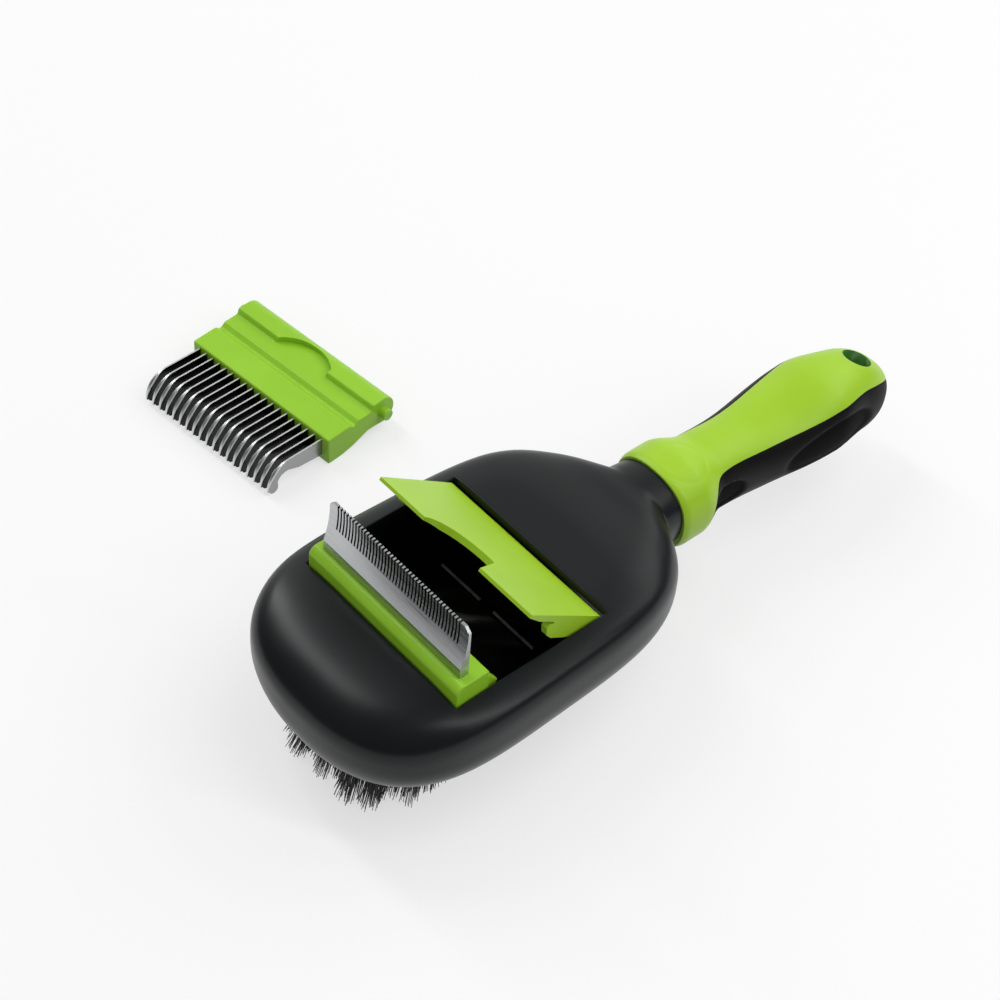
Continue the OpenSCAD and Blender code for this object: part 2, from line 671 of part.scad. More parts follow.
module at_flap() {
    translate([flap_x, 0, flap_z]) rotate([0, flap_open, 0]) children();
}
module notch(edge, depth) {
    r = (notch_half * notch_half + depth * depth) / (2 * depth);
    step_y = -notch_half + 2;
    intersection() {
        translate([edge - (r - depth), 0, -10]) cylinder(r = r, h = 30);
        translate([edge - 2 * r, step_y, -10]) cube([3 * r, 3 * notch_half, 30]);
    }
}
module flap() {
    top = flap_pivot_depth;
    color(green) at_flap() difference() {
        union() {
            across(flap_hw) {
                polygon([[0, top], [-flap_len, top], [-flap_len, top - flap_edge_t],
                    [flap_bevel - flap_len, top - flap_t], [0, top - flap_t]]);
                intersection() {
                    difference() {
                        circle(r = top);
                        circle(r = top - flap_t);
                    }
                    square(top + 1);
                }
            }
            for (side = [-1, 1])
                translate([0, side * (flap_hw - cheek_t / 2), 0]) across(cheek_t / 2) {
                    circle(r = knuckle_r);
                    polygon([[0, 0.9 * top], [0, -knuckle_r],
                        [-0.35 * flap_len, -0.79 * top], [-0.52 * flap_len, -0.84 * top],
                        [-0.6 * flap_len, -0.65 * top], [-0.66 * flap_len, -0.1 * top],
                        [-0.65 * flap_len, 0.21 * top], [-0.6 * flap_len, 0.33 * top],
                        [-0.62 * flap_len, top - 0.9 * flap_t]]);
                }
        }
        notch(-flap_len, notch_depth);
        rotate([90, 0, 0]) cylinder(r = hinge_pin_r, h = 3 * flap_hw, center = true);
    }
}
module flap_hinge_pins() {
    pin_len = cheek_t + side_gap + tray_wall;
    color(steel) at_flap() for (side = [-1, 1])
        translate([0, side * (tray_hw - 0.2 - pin_len / 2), 0]) rotate([90, 0, 0])
            cylinder(r = hinge_pin_r, h = pin_len, center = true);
}

// Rake: profiles are drawn with the rear edge at X = 0, the blades towards -X and the ground at Z = 0
module at_rake() {
    translate([rake_x, rake_y, 0]) rotate([0, 0, rake_yaw]) children();
}
module rake_body() {
    pivot_u = rake_pivot;
    // the slope at the rear plate's edge, and the groove before the front panel, a soft valley
    slope = 0.6;
    groove_x = -rake_plate - slope - rake_flat;
    groove = [for (s = [0 : 0.125 : 1])
        [groove_x - rake_groove_w * s, rake_low - rake_groove_d * (1 - cos(360 * s)) / 2]];
    edge = 1.2;
    color(green) at_rake() difference() {
        union() {
            across(rake_hw) {
                translate([-pivot_u, rake_top - rake_pivot]) circle(r = rake_pivot);
                polygon(concat(
                    [[-pivot_u, rake_top], [-rake_plate, rake_top], [-rake_plate - slope, rake_low]],
                    groove,
                    [[edge - rake_body_len, rake_low], [-rake_body_len, rake_low - edge],
                        [-rake_body_len, edge], [edge - rake_body_len, 0],
                        [-0.79 * rake_body_len, 0], [-0.62 * rake_body_len, 0.07 * rake_top],
                        [-0.4 * rake_body_len, 0.24 * rake_top], [-0.3 * rake_body_len, 0.23 * rake_top],
                        [-pivot_u, 0.3 * rake_top]]
                ));
            }
            translate([-pivot_u, 0, rake_top - rake_pivot]) rotate([90, 0, 0])
                cylinder(r = stub_r, h = 2 * (tray_hw - 0.4), center = true);
        }
        difference() {
            notch(-rake_plate, notch_depth - 1);
            translate([-rake_len, -rake_hw, -20]) cube([2 * rake_len, 2 * rake_hw, 20 + rake_low]);
        }
        for (i = [1 : rake_count])
            translate([0, rake_blade_y(i), 0]) rake_tang(rake_blade_t / 2 + pin_fit, pin_fit);
        translate([rake_rod_x, 0, rake_rod_z]) rotate([90, 0, 0])
            cylinder(r = cross_pin_r + pin_fit, h = rake_rod_len() + 2 * rod_end_gap, center = true);
    }
}
rod_end_gap = 0.5;
function rake_rod_len() = rake_span + 5 * rake_blade_t;
function rake_blade_y(i) = -rake_span / 2 + (i - 1) * rake_pitch;
module rake_tang(half, grow) {
    across(half)
        translate([-rake_body_len - 1, rake_tang_z - grow])
            square([rake_tang_len + 1 + grow, rake_tang_h + 2 * grow]);
}
module rake_blade(i) {
    // the bend's centre along the blade, and the hook that turns down from it
    b = rake_bend;
    neck = rake_len - b;
    color(steel) at_rake() translate([0, rake_blade_y(i), 0]) difference() {
        union() {
            rake_tang(rake_blade_t / 2, 0);
            across(rake_blade_t / 2) {
                polygon(concat(
                    [[-rake_body_len, rake_tang_z], [-rake_body_len, rake_low - rake_shoulder]],
                    [for (a = [90 : 15 : 180]) [-neck + 0.98 * b * cos(a), 0.21 * b + b * sin(a)]],
                    [[-neck - 0.84 * b, 0.16 * b], [-neck - 0.51 * b, 0.16 * b],
                        [-neck - 0.49 * b, 0.46 * b], [-neck - 0.29 * b, 0.66 * b],
                        [-neck + 0.04 * b, 0.69 * b], [-neck + 0.56 * b, 0.47 * b]]
                ));
                translate([-neck - 0.68 * b, 0.21 * b]) circle(r = 0.21 * b);
            }
        }
        translate([rake_rod_x, 0, rake_rod_z]) rotate([90, 0, 0])
            cylinder(r = cross_pin_r + pin_fit, h = 4 * rake_blade_t, center = true);
    }
}
module rake_rod() {
    color(steel) at_rake() translate([rake_rod_x, 0, rake_rod_z]) rotate([90, 0, 0])
        cylinder(r = cross_pin_r, h = rake_rod_len(), center = true);
}

head_top_shell();
head_base_shell();
compartment_tray();
shell_screws();
bristle_plate();
bristle_tufts();
plate_screws();
neck_spigot();
handle_core();
handle_grip();
collar_screw();
blade_carrier();
deshedding_blade();
blade_pins();
flap();
flap_hinge_pins();
rake_body();
rake_rod();
for (i = [1 : rake_count])
    rake_blade(i);
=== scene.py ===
import math
import random

import bmesh
import bpy
import numpy as np
from mathutils import Matrix, Vector


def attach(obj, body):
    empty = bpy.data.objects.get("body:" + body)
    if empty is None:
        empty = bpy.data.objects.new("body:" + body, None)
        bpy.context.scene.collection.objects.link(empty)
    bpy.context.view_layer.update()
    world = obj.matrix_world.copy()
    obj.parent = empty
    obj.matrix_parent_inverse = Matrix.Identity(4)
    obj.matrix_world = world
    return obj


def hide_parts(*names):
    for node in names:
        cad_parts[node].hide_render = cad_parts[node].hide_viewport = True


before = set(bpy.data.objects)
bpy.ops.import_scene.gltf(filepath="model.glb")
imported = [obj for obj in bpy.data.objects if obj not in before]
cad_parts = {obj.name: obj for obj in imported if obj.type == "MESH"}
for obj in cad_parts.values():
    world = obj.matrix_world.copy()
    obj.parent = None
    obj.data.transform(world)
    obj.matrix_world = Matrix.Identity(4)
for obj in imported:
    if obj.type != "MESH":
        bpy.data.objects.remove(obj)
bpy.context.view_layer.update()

# Bristles: black nylon strands, folded over and stapled in tufts into a thin backing.
# The tufts stand in staggered rows; the outer ones lean out and the tips are trimmed level.
FIELD_LEN, FIELD_W, FIELD_POWER = 109, 49, 3.6
PLATE_MARGIN, BACKING_Z, BACKING_EDGE = 2.4, (15, 16), 0.3
TUFT_INSET, TUFT_EDGE, TUFT_ROWS, TUFT_COLS, TUFT_R = 3.6, 1, 4, 8, 2.8
STRANDS, STRAND_R, STRAND_TAPER, STRAND_BEND = 70, 0.17, 0.3, 1.6
FAN, SCATTER, EDGE_LEAN, SIDE_SHARE = 0.9, 0.35, 4.4, 0.45
TIP_LOW, TIP_SPREAD = 0.02, 4
SCREWS_X, SCREW_ROOM = (-29.5, 29.5), 4


def linear(code):
    """Linear colour of an sRGB hex code."""
    channels = [int(code[i : i + 2], 16) / 255 for i in (1, 3, 5)]
    return [c / 12.92 if c <= 0.04045 else ((c + 0.055) / 1.055) ** 2.4 for c in channels] + [1]


def cells(size):
    """A pattern's scale, in cells to the metre, from the size of one cell in mm."""
    return 1000 / size


def add(tree, kind, inputs=None, to=None, out=0, tones=(), span=(0.3, 0.7), **settings):
    """Adds a node, sets or links its inputs, and links one of its outputs to a socket.

    Tones are the hex colours or grey values of a ramp; most of a noise lies in the usual span.
    """
    made = tree.nodes.new("ShaderNode" + kind)
    for name, value in settings.items():
        setattr(made, name, value)
    for name, value in (inputs or {}).items():
        if isinstance(value, bpy.types.Node):
            value = value.outputs[0]
        if isinstance(value, bpy.types.NodeSocket):
            tree.links.new(value, made.inputs[name])
        else:
            made.inputs[name].default_value = value
    for k, tone in enumerate(tones):
        stop = made.color_ramp.elements[k]
        stop.position = span[k]
        stop.color = linear(tone) if isinstance(tone, str) else [tone] * 3 + [1]
    if to is not None:
        tree.links.new(made.outputs[out], to)
    return made


def plain(name, **values):
    """A material, its node tree, its shader, and the place on the piece in metres."""
    material = bpy.data.materials.new(name)
    material.use_nodes = True
    tree = material.node_tree
    shader = tree.nodes["Principled BSDF"]
    for key, value in values.items():
        socket = key.replace("_", " ").title().replace("Ior", "IOR")
        shader.inputs[socket].default_value = value
    place = add(tree, "TexCoord").outputs["Object"]
    return material, tree, shader, place


def piece(name, points, faces, material, crease=35):
    """A mesh piece from points in mm, smooth but for edges sharper than the crease angle."""
    shape = bmesh.new()
    corners = [shape.verts.new([c / 1000 for c in p]) for p in points]
    for face in faces:
        shape.faces.new([corners[i] for i in face])
    bmesh.ops.remove_doubles(shape, verts=shape.verts, dist=1e-6)
    bmesh.ops.recalc_face_normals(shape, faces=shape.faces)
    mesh = bpy.data.meshes.new(name)
    shape.to_mesh(mesh)
    shape.free()
    mesh.shade_smooth()
    mesh.set_sharp_from_angle(angle=math.radians(crease))
    mesh.materials.append(material)
    made = bpy.data.objects.new(name, mesh)
    bpy.context.scene.collection.objects.link(made)
    return made


def lofted(rings, wrap=True):
    """Quads over equal rings of points, given one ring after another."""
    n = len(rings[0])
    points = [p for ring in rings for p in ring]
    faces = []
    for j in range(len(rings) - 1):
        for i in range(n if wrap else n - 1):
            k = (i + 1) % n
            faces.append((j * n + i, j * n + k, (j + 1) * n + k, (j + 1) * n + i))
    return points, faces


def capped(rings):
    """A closed loft with a face over each end ring."""
    points, faces = lofted(rings)
    n = len(rings[0])
    return points, faces + [tuple(range(n)), tuple(range(len(points) - n, len(points)))]


def merged(blocks):
    """One set of points and faces from several."""
    points, faces = [], []
    for block_points, block_faces in blocks:
        faces += [tuple(len(points) + v for v in face) for face in block_faces]
        points += block_points
    return points, faces


def spow(value, power):
    return math.copysign(abs(value) ** power, value)


# Drawn nylon: deep black, a little translucent gloss, each strand a slightly different grey
nylon, tree, shader, place = plain("drawn_nylon_bristle", roughness=0.45, ior=1.53)
grey = add(tree, "TexNoise", {"Vector": place, "Scale": cells(1.11), "Detail": 2})
add(tree, "ValToRGB", {"Fac": grey}, shader.inputs["Base Color"], tones=("#040405", "#0D0D0E"))
add(tree, "ValToRGB", {"Fac": grey}, shader.inputs["Roughness"], tones=(0.36, 0.54))

dice = random.Random(11)
row_step = (FIELD_W / 2 - TUFT_INSET) / TUFT_ROWS
col_step = (FIELD_LEN / 2 - TUFT_INSET) / TUFT_COLS
root_z = BACKING_Z[0] + BACKING_EDGE
blocks = []
for row in range(-TUFT_ROWS, TUFT_ROWS + 1):
    for col in range(-TUFT_COLS - 1, TUFT_COLS + 1):
        x, y = (col + 0.5 * (row % 2)) * col_step, row * row_step
        inside = (abs(x) / (FIELD_LEN / 2 - TUFT_EDGE)) ** FIELD_POWER
        inside += (abs(y) / (FIELD_W / 2 - TUFT_EDGE)) ** FIELD_POWER
        if inside >= 1 or min(math.hypot(x - s, y) for s in SCREWS_X) <= SCREW_ROOM:
            continue
        out = Vector((x * FIELD_W / FIELD_LEN, y)) * 2 / FIELD_W
        splay = EDGE_LEAN * out.length * Vector((out.x, SIDE_SHARE * out.y))
        drift = Vector((dice.gauss(0, SCATTER), dice.gauss(0, SCATTER)))
        for _ in range(STRANDS):
            angle, spread = dice.uniform(0, math.tau), math.sqrt(dice.random())
            fan = Vector((math.cos(angle), math.sin(angle))) * spread
            root = Vector((x, y)) + TUFT_R * fan
            lean = FAN * fan + drift + splay
            lean += Vector((dice.gauss(0, SCATTER), dice.gauss(0, SCATTER)))
            tip_z = TIP_LOW + TIP_SPREAD * dice.random() ** 3
            turn = dice.uniform(0, math.tau)
            rings = []
            for s in (0, 0.35, 0.7, 1):
                at = root + lean * s**STRAND_BEND
                z = root_z + (tip_z - root_z) * s
                r = STRAND_R * (1 - STRAND_TAPER * s)
                corners = (turn, turn + math.tau / 3, turn + 2 * math.tau / 3)
                rings.append([(at.x + r * math.cos(q), at.y + r * math.sin(q), z) for q in corners])
            blocks.append(capped(rings))


def field_outline(grow, z):
    """The rounded outline of the bristle field at a height."""
    return [
        (
            (FIELD_LEN / 2 + grow) * spow(math.cos(a), 2 / FIELD_POWER),
            (FIELD_W / 2 + grow) * spow(math.sin(a), 2 / FIELD_POWER),
            z,
        )
        for a in np.linspace(0, math.tau, 128, endpoint=False)
    ]


backing = ((PLATE_MARGIN - BACKING_EDGE, BACKING_Z[0]), (PLATE_MARGIN, root_z))
backing += ((PLATE_MARGIN, BACKING_Z[1]),)
blocks.append(capped([field_outline(grow, z) for grow, z in backing]))
bristles = piece("bristle_block", *merged(blocks), nylon)
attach(bristles, "brush")
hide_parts("bristle_tufts")

# Bristle plate and its screws: a moulded black plate that closes the underside of the head.
# Two plated screws hold it, and four longer ones under it draw the two shells together.
# Black ABS straight from a polished mould: near-black, mirror-like, faint flow marks
gloss_abs, tree, shader, place = plain(
    "polished_mould_black_abs", roughness=0.24, ior=1.54, specular_ior_level=0.07
)
flow = add(tree, "TexNoise", {"Vector": place, "Scale": cells(16.7), "Detail": 3})
add(tree, "ValToRGB", {"Fac": flow}, shader.inputs["Base Color"], tones=("#050506", "#0B0C0D"))
add(tree, "ValToRGB", {"Fac": flow}, shader.inputs["Roughness"], tones=(0.2, 0.32))
# Zinc-plated screw steel: pale, slightly cloudy
plated, tree, shader, place = plain("zinc_plated_screw_steel", metallic=1, roughness=0.32)
cloud = add(tree, "TexNoise", {"Vector": place, "Scale": cells(2), "Detail": 3})
add(tree, "ValToRGB", {"Fac": cloud}, shader.inputs["Base Color"], tones=("#A9ADB0", "#C9CBCC"))
add(tree, "ValToRGB", {"Fac": cloud}, shader.inputs["Roughness"], tones=(0.24, 0.42))


def finish_node(name, material):
    """Gives a CAD solid that shows as it is the material of the real piece."""
    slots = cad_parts[name].data.materials
    slots.clear()
    slots.append(material)


finish_node("bristle_plate", gloss_abs)
finish_node("plate_screws", plated)
finish_node("shell_screws", plated)

# Base shell: the lower half of the head, one satin charcoal ABS moulding.
# Its rim meets the top shell on a level parting line; the underside is flat round the plate.
HEAD_LEN, HEAD_W, HEAD_TAPER = 132, 86.96, 0.06
PARTING_Z, TOP_Z, BOTTOM_Z = 35, 49.4, 16.4
CROWN, KEEL = 14.9, 22
PLAN_POWERS, PROFILE_POWERS = (3.8, 2.4), (4, 3.2)
CROWN_POWER, CROWN_FLAT, KEEL_POWER, NECK_POWER = 3.3, 1.5, 2.4, 2.2
NECK_X, NECK_R, NECK_UP, NECK_DOWN = 72.8, 14.6, 11.7, 15.9
NECK_START, FLARE, FLARE_LEN = 30, 16, 30
RIM_BAND, SHELL_WALL = 0.25, 1.6
CROWDING = 0.9


def ease(x, a, b):
    t = min(1, max(0, (x - a) / (b - a)))
    return t * t * (3 - 2 * t)


def joined(a, b, s):
    """The larger of two lengths, with a rounded passage between them."""
    return (a**s + b**s) ** (1 / s)


def swell(x, p, q):
    """The share of the head's full size that is left at a distance from its middle."""
    return max(0, 1 - min(1, abs(x) / (HEAD_LEN / 2)) ** p) ** (1 / q)


def head_half_width(x):
    body = HEAD_W / 2 * swell(x, *PLAN_POWERS) * (1 - HEAD_TAPER * x / (HEAD_LEN / 2))
    if x < NECK_START:
        return body
    flare = NECK_R + FLARE * max(0, (NECK_X - x) / FLARE_LEN) ** 2 * ease(x, 20, 60)
    return joined(body, flare * ease(x, NECK_START, 70), 5)


def head_height(x, body, neck):
    height = body * swell(x, *PROFILE_POWERS)
    return height if x < NECK_START else joined(height, neck * ease(x, NECK_START, 60), 8)


def head_power(x, upper):
    """How square a section is: flat along the middle of the top, nearly round at the neck."""
    to_neck = ease(x, 46, NECK_X)
    body = CROWN_POWER + CROWN_FLAT * (1 - ease(abs(x), 35, 60)) if upper else KEEL_POWER
    return body * (1 - to_neck) + NECK_POWER * to_neck


def head_side(x, upper, inner):
    """The outside of a section from the parting line in to a distance from the middle."""
    w, m = head_half_width(x), head_power(x, upper)
    h = head_height(x, CROWN, NECK_UP) if upper else head_height(x, KEEL, NECK_DOWN)
    stop = math.acos(min(1, (inner / w) ** (m / 2)))
    turns = stop * np.linspace(0, 1, 500) ** 2.2
    curve = np.array([(w * math.cos(t) ** (2 / m), h * math.sin(t) ** (2 / m)) for t in turns])
    limit = TOP_Z - PARTING_Z if upper else PARTING_Z - BOTTOM_Z
    curve[:, 1] = np.minimum(curve[:, 1], limit)
    return curve


def spaced(curve, count):
    """Points along a curve, closer together where it bends."""
    step = np.diff(curve, axis=0)
    length = np.hypot(step[:, 0], step[:, 1])
    angle = np.unwrap(np.arctan2(step[:, 1], step[:, 0]))
    turn = np.abs(np.append(np.diff(angle), 0))
    share = length / length.sum() + CROWDING * turn / math.pi + 1e-9
    run = np.concatenate([[0], np.cumsum(share)])
    marks = np.linspace(0, run[-1], count)
    return np.stack([np.interp(marks, run, curve[:, k]) for k in (0, 1)], axis=1)


# Satin ABS from a spark-eroded mould: charcoal, soft highlights, a grain drawn at 0.5 mm
# because the real 0.1 mm grain would be finer than the image
satin_abs, tree, shader, place = plain(
    "spark_textured_charcoal_abs", roughness=0.3, ior=1.54, specular_ior_level=0.22
)
tone = add(tree, "TexNoise", {"Vector": place, "Scale": cells(22.2), "Detail": 4})
grain = add(tree, "TexNoise", {"Vector": place, "Scale": cells(0.5), "Detail": 2})
base_color, roughness = shader.inputs["Base Color"], shader.inputs["Roughness"]
add(tree, "ValToRGB", {"Fac": tone}, base_color, tones=("#161A1B", "#1B1F20"), span=(0, 1))
add(tree, "ValToRGB", {"Fac": tone}, roughness, tones=(0.28, 0.31), span=(0, 1))
relief = {"Height": grain, "Strength": 0.03, "Distance": 0.0001}
add(tree, "Bump", relief, shader.inputs["Normal"])


def walled(made, thickness):
    """Gives an open moulded skin its wall, inward, with square rims."""
    shape = bmesh.new()
    shape.from_mesh(made.data)
    for rim in shape.edges:
        rim.smooth = rim.smooth and not rim.is_boundary
    shape.to_mesh(made.data)
    shape.free()
    wall = made.modifiers.new("wall", "SOLIDIFY")
    wall.thickness, wall.offset = thickness / 1000, -1


def from_parting(x, side, sign):
    """One side's points of a section, with a narrow upright band at the parting line."""
    rim = side[0, 0]
    band = [(x, rim, PARTING_Z), (x, rim, PARTING_Z + sign * RIM_BAND)]
    return band + [(x, y, PARTING_Z + sign * max(z, 2 * RIM_BAND)) for y, z in side[1:]]


toe_x = [-HEAD_LEN / 2 * math.cos(math.radians(t)) for t in np.linspace(2, 90, 40)]
head_x = toe_x + list(np.arange(2, 55, 2.2)) + list(np.linspace(56, NECK_X, 22))
rings = []
for x in head_x:
    half = from_parting(x, spaced(head_side(x, False, 0), 40), -1)
    rings.append(half + [(x, -y, z) for _, y, z in reversed(half[:-1])])
points, faces = lofted(rings, wrap=False)
toe_end = tuple(range(len(rings[0])))
base_shell = piece("head_base_moulding", points, faces + [toe_end], satin_abs)
walled(base_shell, SHELL_WALL)
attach(base_shell, "brush")
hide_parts("head_base_shell")

# Compartment tray: a separate glossy black box that hangs in the head under the opening.
# It holds the pivots of the cartridge and the flap, and has two low ribs on its floor.
WELL_X, WELL_Y, FLOOR_Z, RIM_Z = (-35, 21.4), 34, 28.5, 46.8
TRAY_WALL = 2.2
RIB_X, RIB_Y, RIB_R, RIB_H = 6.6, (3, 21), 0.6, 2.5
# the height over the rib's round at which its painted highlight starts
PAINTED_HIGHLIGHT_FROM = 0.2


def prism(outline, low, high, axis="y"):
    """Points and faces of an outline drawn in the other two axes and carried along one."""
    n = len(outline)
    along = [(a, t, b) if axis == "y" else (a, b, t) for t in (low, high) for a, b in outline]
    ends = [tuple(range(n)), tuple(range(n, 2 * n))]
    return along, ends + [(i, (i + 1) % n, n + (i + 1) % n, n + i) for i in range(n)]


def arc(x, z, r, start, stop, count=16):
    turns = [math.radians(a) for a in np.linspace(start, stop, count)]
    return [(x + r * math.cos(a), z + r * math.sin(a)) for a in turns]


def carve(made, tool, operation="DIFFERENCE"):
    """Joins a tool to a piece, or cuts it away, and discards the tool."""
    step = made.modifiers.new("carve", "BOOLEAN")
    step.operation, step.object, step.solver = operation, tool, "EXACT"
    shown = made.evaluated_get(bpy.context.evaluated_depsgraph_get())
    settled = bpy.data.meshes.new_from_object(shown)
    made.modifiers.clear()
    made.data = settled
    bpy.data.objects.remove(tool)


def box(low_x, high_x, half, low, high):
    return prism([(low_x, low), (high_x, low), (high_x, high), (low_x, high)], -half, half)


outside_x = (WELL_X[0] - TRAY_WALL, WELL_X[1] + TRAY_WALL)
outside = box(*outside_x, WELL_Y + TRAY_WALL, FLOOR_Z - TRAY_WALL, RIM_Z)
tray = piece("compartment_tray_moulding", *outside, gloss_abs)
carve(tray, piece("hollow", *box(*WELL_X, WELL_Y, FLOOR_Z, RIM_Z + 5), gloss_abs))
rib = [(RIB_X - RIB_R, FLOOR_Z - 1), (RIB_X + RIB_R, FLOOR_Z - 1)]
rib += arc(RIB_X, FLOOR_Z + RIB_H - RIB_R, RIB_R, 0, 180)
for low, high in (RIB_Y, (-RIB_Y[1], -RIB_Y[0])):
    carve(tray, piece("rib", *prism(rib, low, high), gloss_abs), "UNION")
# Rib tops: a painted highlight, a grey band along the top of each rib
rib_top_painted_highlight_abs, tree, shader, place = plain("black_abs_painted_rib_highlight", roughness=0.5, ior=1.54)
highlight_tone = add(tree, "TexNoise", {"Vector": place, "Scale": cells(2.5), "Detail": 3})
add(tree, "ValToRGB", {"Fac": highlight_tone}, shader.inputs["Base Color"], tones=("#4A4D4F", "#6C6F72"))
tray.data.materials.append(rib_top_painted_highlight_abs)
for face in tray.data.polygons:
    top = face.center.z * 1000 - FLOOR_Z - RIB_H + RIB_R
    on_rib = abs(face.center.x * 1000 - RIB_X) < RIB_R
    face.material_index = int(PAINTED_HIGHLIGHT_FROM < top < RIB_R and on_rib)
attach(tray, "brush")
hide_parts("compartment_tray")

# Top shell: the upper half of the head, in the same satin charcoal ABS.
# The rectangular opening has a small rounded edge and a lip that reaches down to the tray.
LIP_OUT, LIP = 0.5, ((0.22, 0.06), (0.06, 0.22), (0, 0.5), (0, TOP_Z - RIM_Z))
SIDE_POINTS, SIDE_REACH = 30, 0.82
NEXT_RING = 0.6
lip_x = (WELL_X[0] - LIP_OUT, WELL_X[1] + LIP_OUT)
top_x = [x for x in head_x if min(abs(x - end) for end in lip_x) > 0.7]
top_x = sorted(top_x + [lip_x[0] - NEXT_RING, *lip_x, lip_x[1] + NEXT_RING])
across = [0.985] + list(np.linspace(0.95, -0.95, 19)) + [-0.985]


def head_top(x, y):
    w, m = head_half_width(x), head_power(x, True)
    h = head_height(x, CROWN, NECK_UP) * max(0, 1 - min(1, abs(y) / w) ** m) ** (1 / m)
    return PARTING_Z + min(h, TOP_Z - PARTING_Z)


rings = []
for x in top_x:
    inner = min(WELL_Y + LIP_OUT, SIDE_REACH * head_half_width(x))
    side = from_parting(x, spaced(head_side(x, True, inner), SIDE_POINTS), 1)
    flat = [(x, inner * s, head_top(x, inner * s)) for s in across]
    rings.append(side + flat + [(x, -y, z) for _, y, z in reversed(side)])
points, faces = lofted(rings, wrap=False)
per_ring = len(rings[0])
near, far = SIDE_POINTS, per_ring - SIDE_POINTS - 1
rows = [j for j, x in enumerate(top_x) if lip_x[0] - 1e-6 <= x <= lip_x[1] + 1e-6]
front, back = rows[0], rows[-1]
hole = {j * per_ring + i for j in range(front, back) for i in range(near, far)}
faces = [face for face in faces if face[0] not in hole] + [tuple(range(per_ring))]
upper = (
    [j * per_ring + near for j in range(front, back)]
    + [back * per_ring + i for i in range(near, far)]
    + [j * per_ring + far for j in range(back, front, -1)]
    + [front * per_ring + i for i in range(far, near, -1)]
)
for out, fall in LIP:
    lower = list(range(len(points), len(points) + len(upper)))
    for v in upper:
        x = min(WELL_X[1] + out, max(WELL_X[0] - out, points[v][0]))
        y = min(WELL_Y + out, max(-WELL_Y - out, points[v][1]))
        points.append((x, y, head_top(x, y) - fall if fall < 1 else RIM_Z))
    for k in range(len(upper)):
        after = (k + 1) % len(upper)
        faces.append((upper[k], upper[after], lower[after], lower[k]))
    upper = lower
top_shell = piece("head_top_moulding", points, faces, satin_abs, crease=50)
walled(top_shell, SHELL_WALL)
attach(top_shell, "brush")
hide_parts("head_top_shell")

# Blade cartridge: a green ABS bar with pivot stubs and hooked ears, moulded in one.
# It folds about its stubs, and three steel pins hold the blade's tang in its slot.
PIVOT = (-29.5, 43.6)
CARRIER_FRONT, CARRIER_BACK, CARRIER_H, CARRIER_HALF = 5.1, 6.6, 11.7, 33.6
NOSE_R, EAR_IN, EAR_T, EAR_REACH, STUB_R, STUB_HALF = 3, 0.8, 3, 4.2, 2, 35.8
CARRIER_EDGE_R = 0.45


def circle(x, z, r, count):
    return arc(x, z, r, 0, 360 * (count - 1) / count, count)


def rounded(made, radius, limit=28):
    """Moulded edge radius, with the faces between the edges kept flat."""
    made.data.shade_smooth()
    made.data.set_sharp_from_angle(angle=math.radians(limit))
    bevel = made.modifiers.new("edge_radius", "BEVEL")
    bevel.width, bevel.segments = radius / 1000, 3
    bevel.limit_method, bevel.angle_limit = "ANGLE", math.radians(limit)
    bevel.harden_normals = True
    bevel.miter_outer = "MITER_ARC"
    bevel.use_clamp_overlap = True
    made.modifiers.new("flat_faces", "WEIGHTED_NORMAL").keep_sharp = True


def green_plastic(name, dark, pale):
    """Green ABS, slightly cloudy in tone, with a mould grain drawn at 0.6 mm to show."""
    material, tree, shader, place = plain(name, roughness=0.34, ior=1.54, specular_ior_level=0.3)
    tone = add(tree, "TexNoise", {"Vector": place, "Scale": cells(26.3), "Detail": 4})
    grain = add(tree, "TexNoise", {"Vector": place, "Scale": cells(0.625), "Detail": 2})
    add(tree, "ValToRGB", {"Fac": tone}, shader.inputs["Base Color"], tones=(dark, pale))
    add(tree, "ValToRGB", {"Fac": tone}, shader.inputs["Roughness"], tones=(0.3, 0.4))
    relief = {"Height": grain, "Strength": 0.06, "Distance": 0.0001}
    add(tree, "Bump", relief, shader.inputs["Normal"])
    return material


# Semi-gloss green ABS for handle and flap: bright yellow-green, soft highlights
green_abs = green_plastic("semi_gloss_green_abs", "#9FCB26", "#A8D42F")
# The cartridges' green ABS: the same finish, darkened as painted shade
green_abs_painted_shade = green_plastic("semi_gloss_green_abs_painted_shade", "#92C92A", "#9AD231")

bar = (
    [(CARRIER_BACK, 0), (CARRIER_BACK, CARRIER_H)]
    + arc(NOSE_R - CARRIER_FRONT, CARRIER_H - NOSE_R, NOSE_R, 90, 180, 20)
    + arc(0, 0, CARRIER_FRONT, 180, 360, 40)
)
bar = prism(bar, -CARRIER_HALF, CARRIER_HALF)
carrier = piece("blade_carrier_moulding", *bar, green_abs_painted_shade)
ear = [
    (0, 0),
    (CARRIER_BACK + 0.86 * EAR_REACH, 0.15 * CARRIER_H),
    (CARRIER_BACK + EAR_REACH, 0.36 * CARRIER_H),
    (CARRIER_BACK + 0.29 * EAR_REACH, 0.7 * CARRIER_H),
    (0, 0.7 * CARRIER_H),
]
ear_y = (CARRIER_HALF - EAR_T, CARRIER_HALF - EAR_IN)
for low, high in ((-ear_y[1], -ear_y[0]), ear_y):
    carve(carrier, piece("ear", *prism(ear, low, high), green_abs_painted_shade), "UNION")
stub = prism(circle(0, 0, STUB_R, 32), -STUB_HALF, STUB_HALF)
carve(carrier, piece("stub", *stub, green_abs_painted_shade), "UNION")
rounded(carrier, CARRIER_EDGE_R)
carrier_place = Matrix.Translation((PIVOT[0] / 1000, 0, PIVOT[1] / 1000))
carrier.data.transform(carrier_place)
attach(carrier, "blade_cartridge")
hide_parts("blade_carrier")

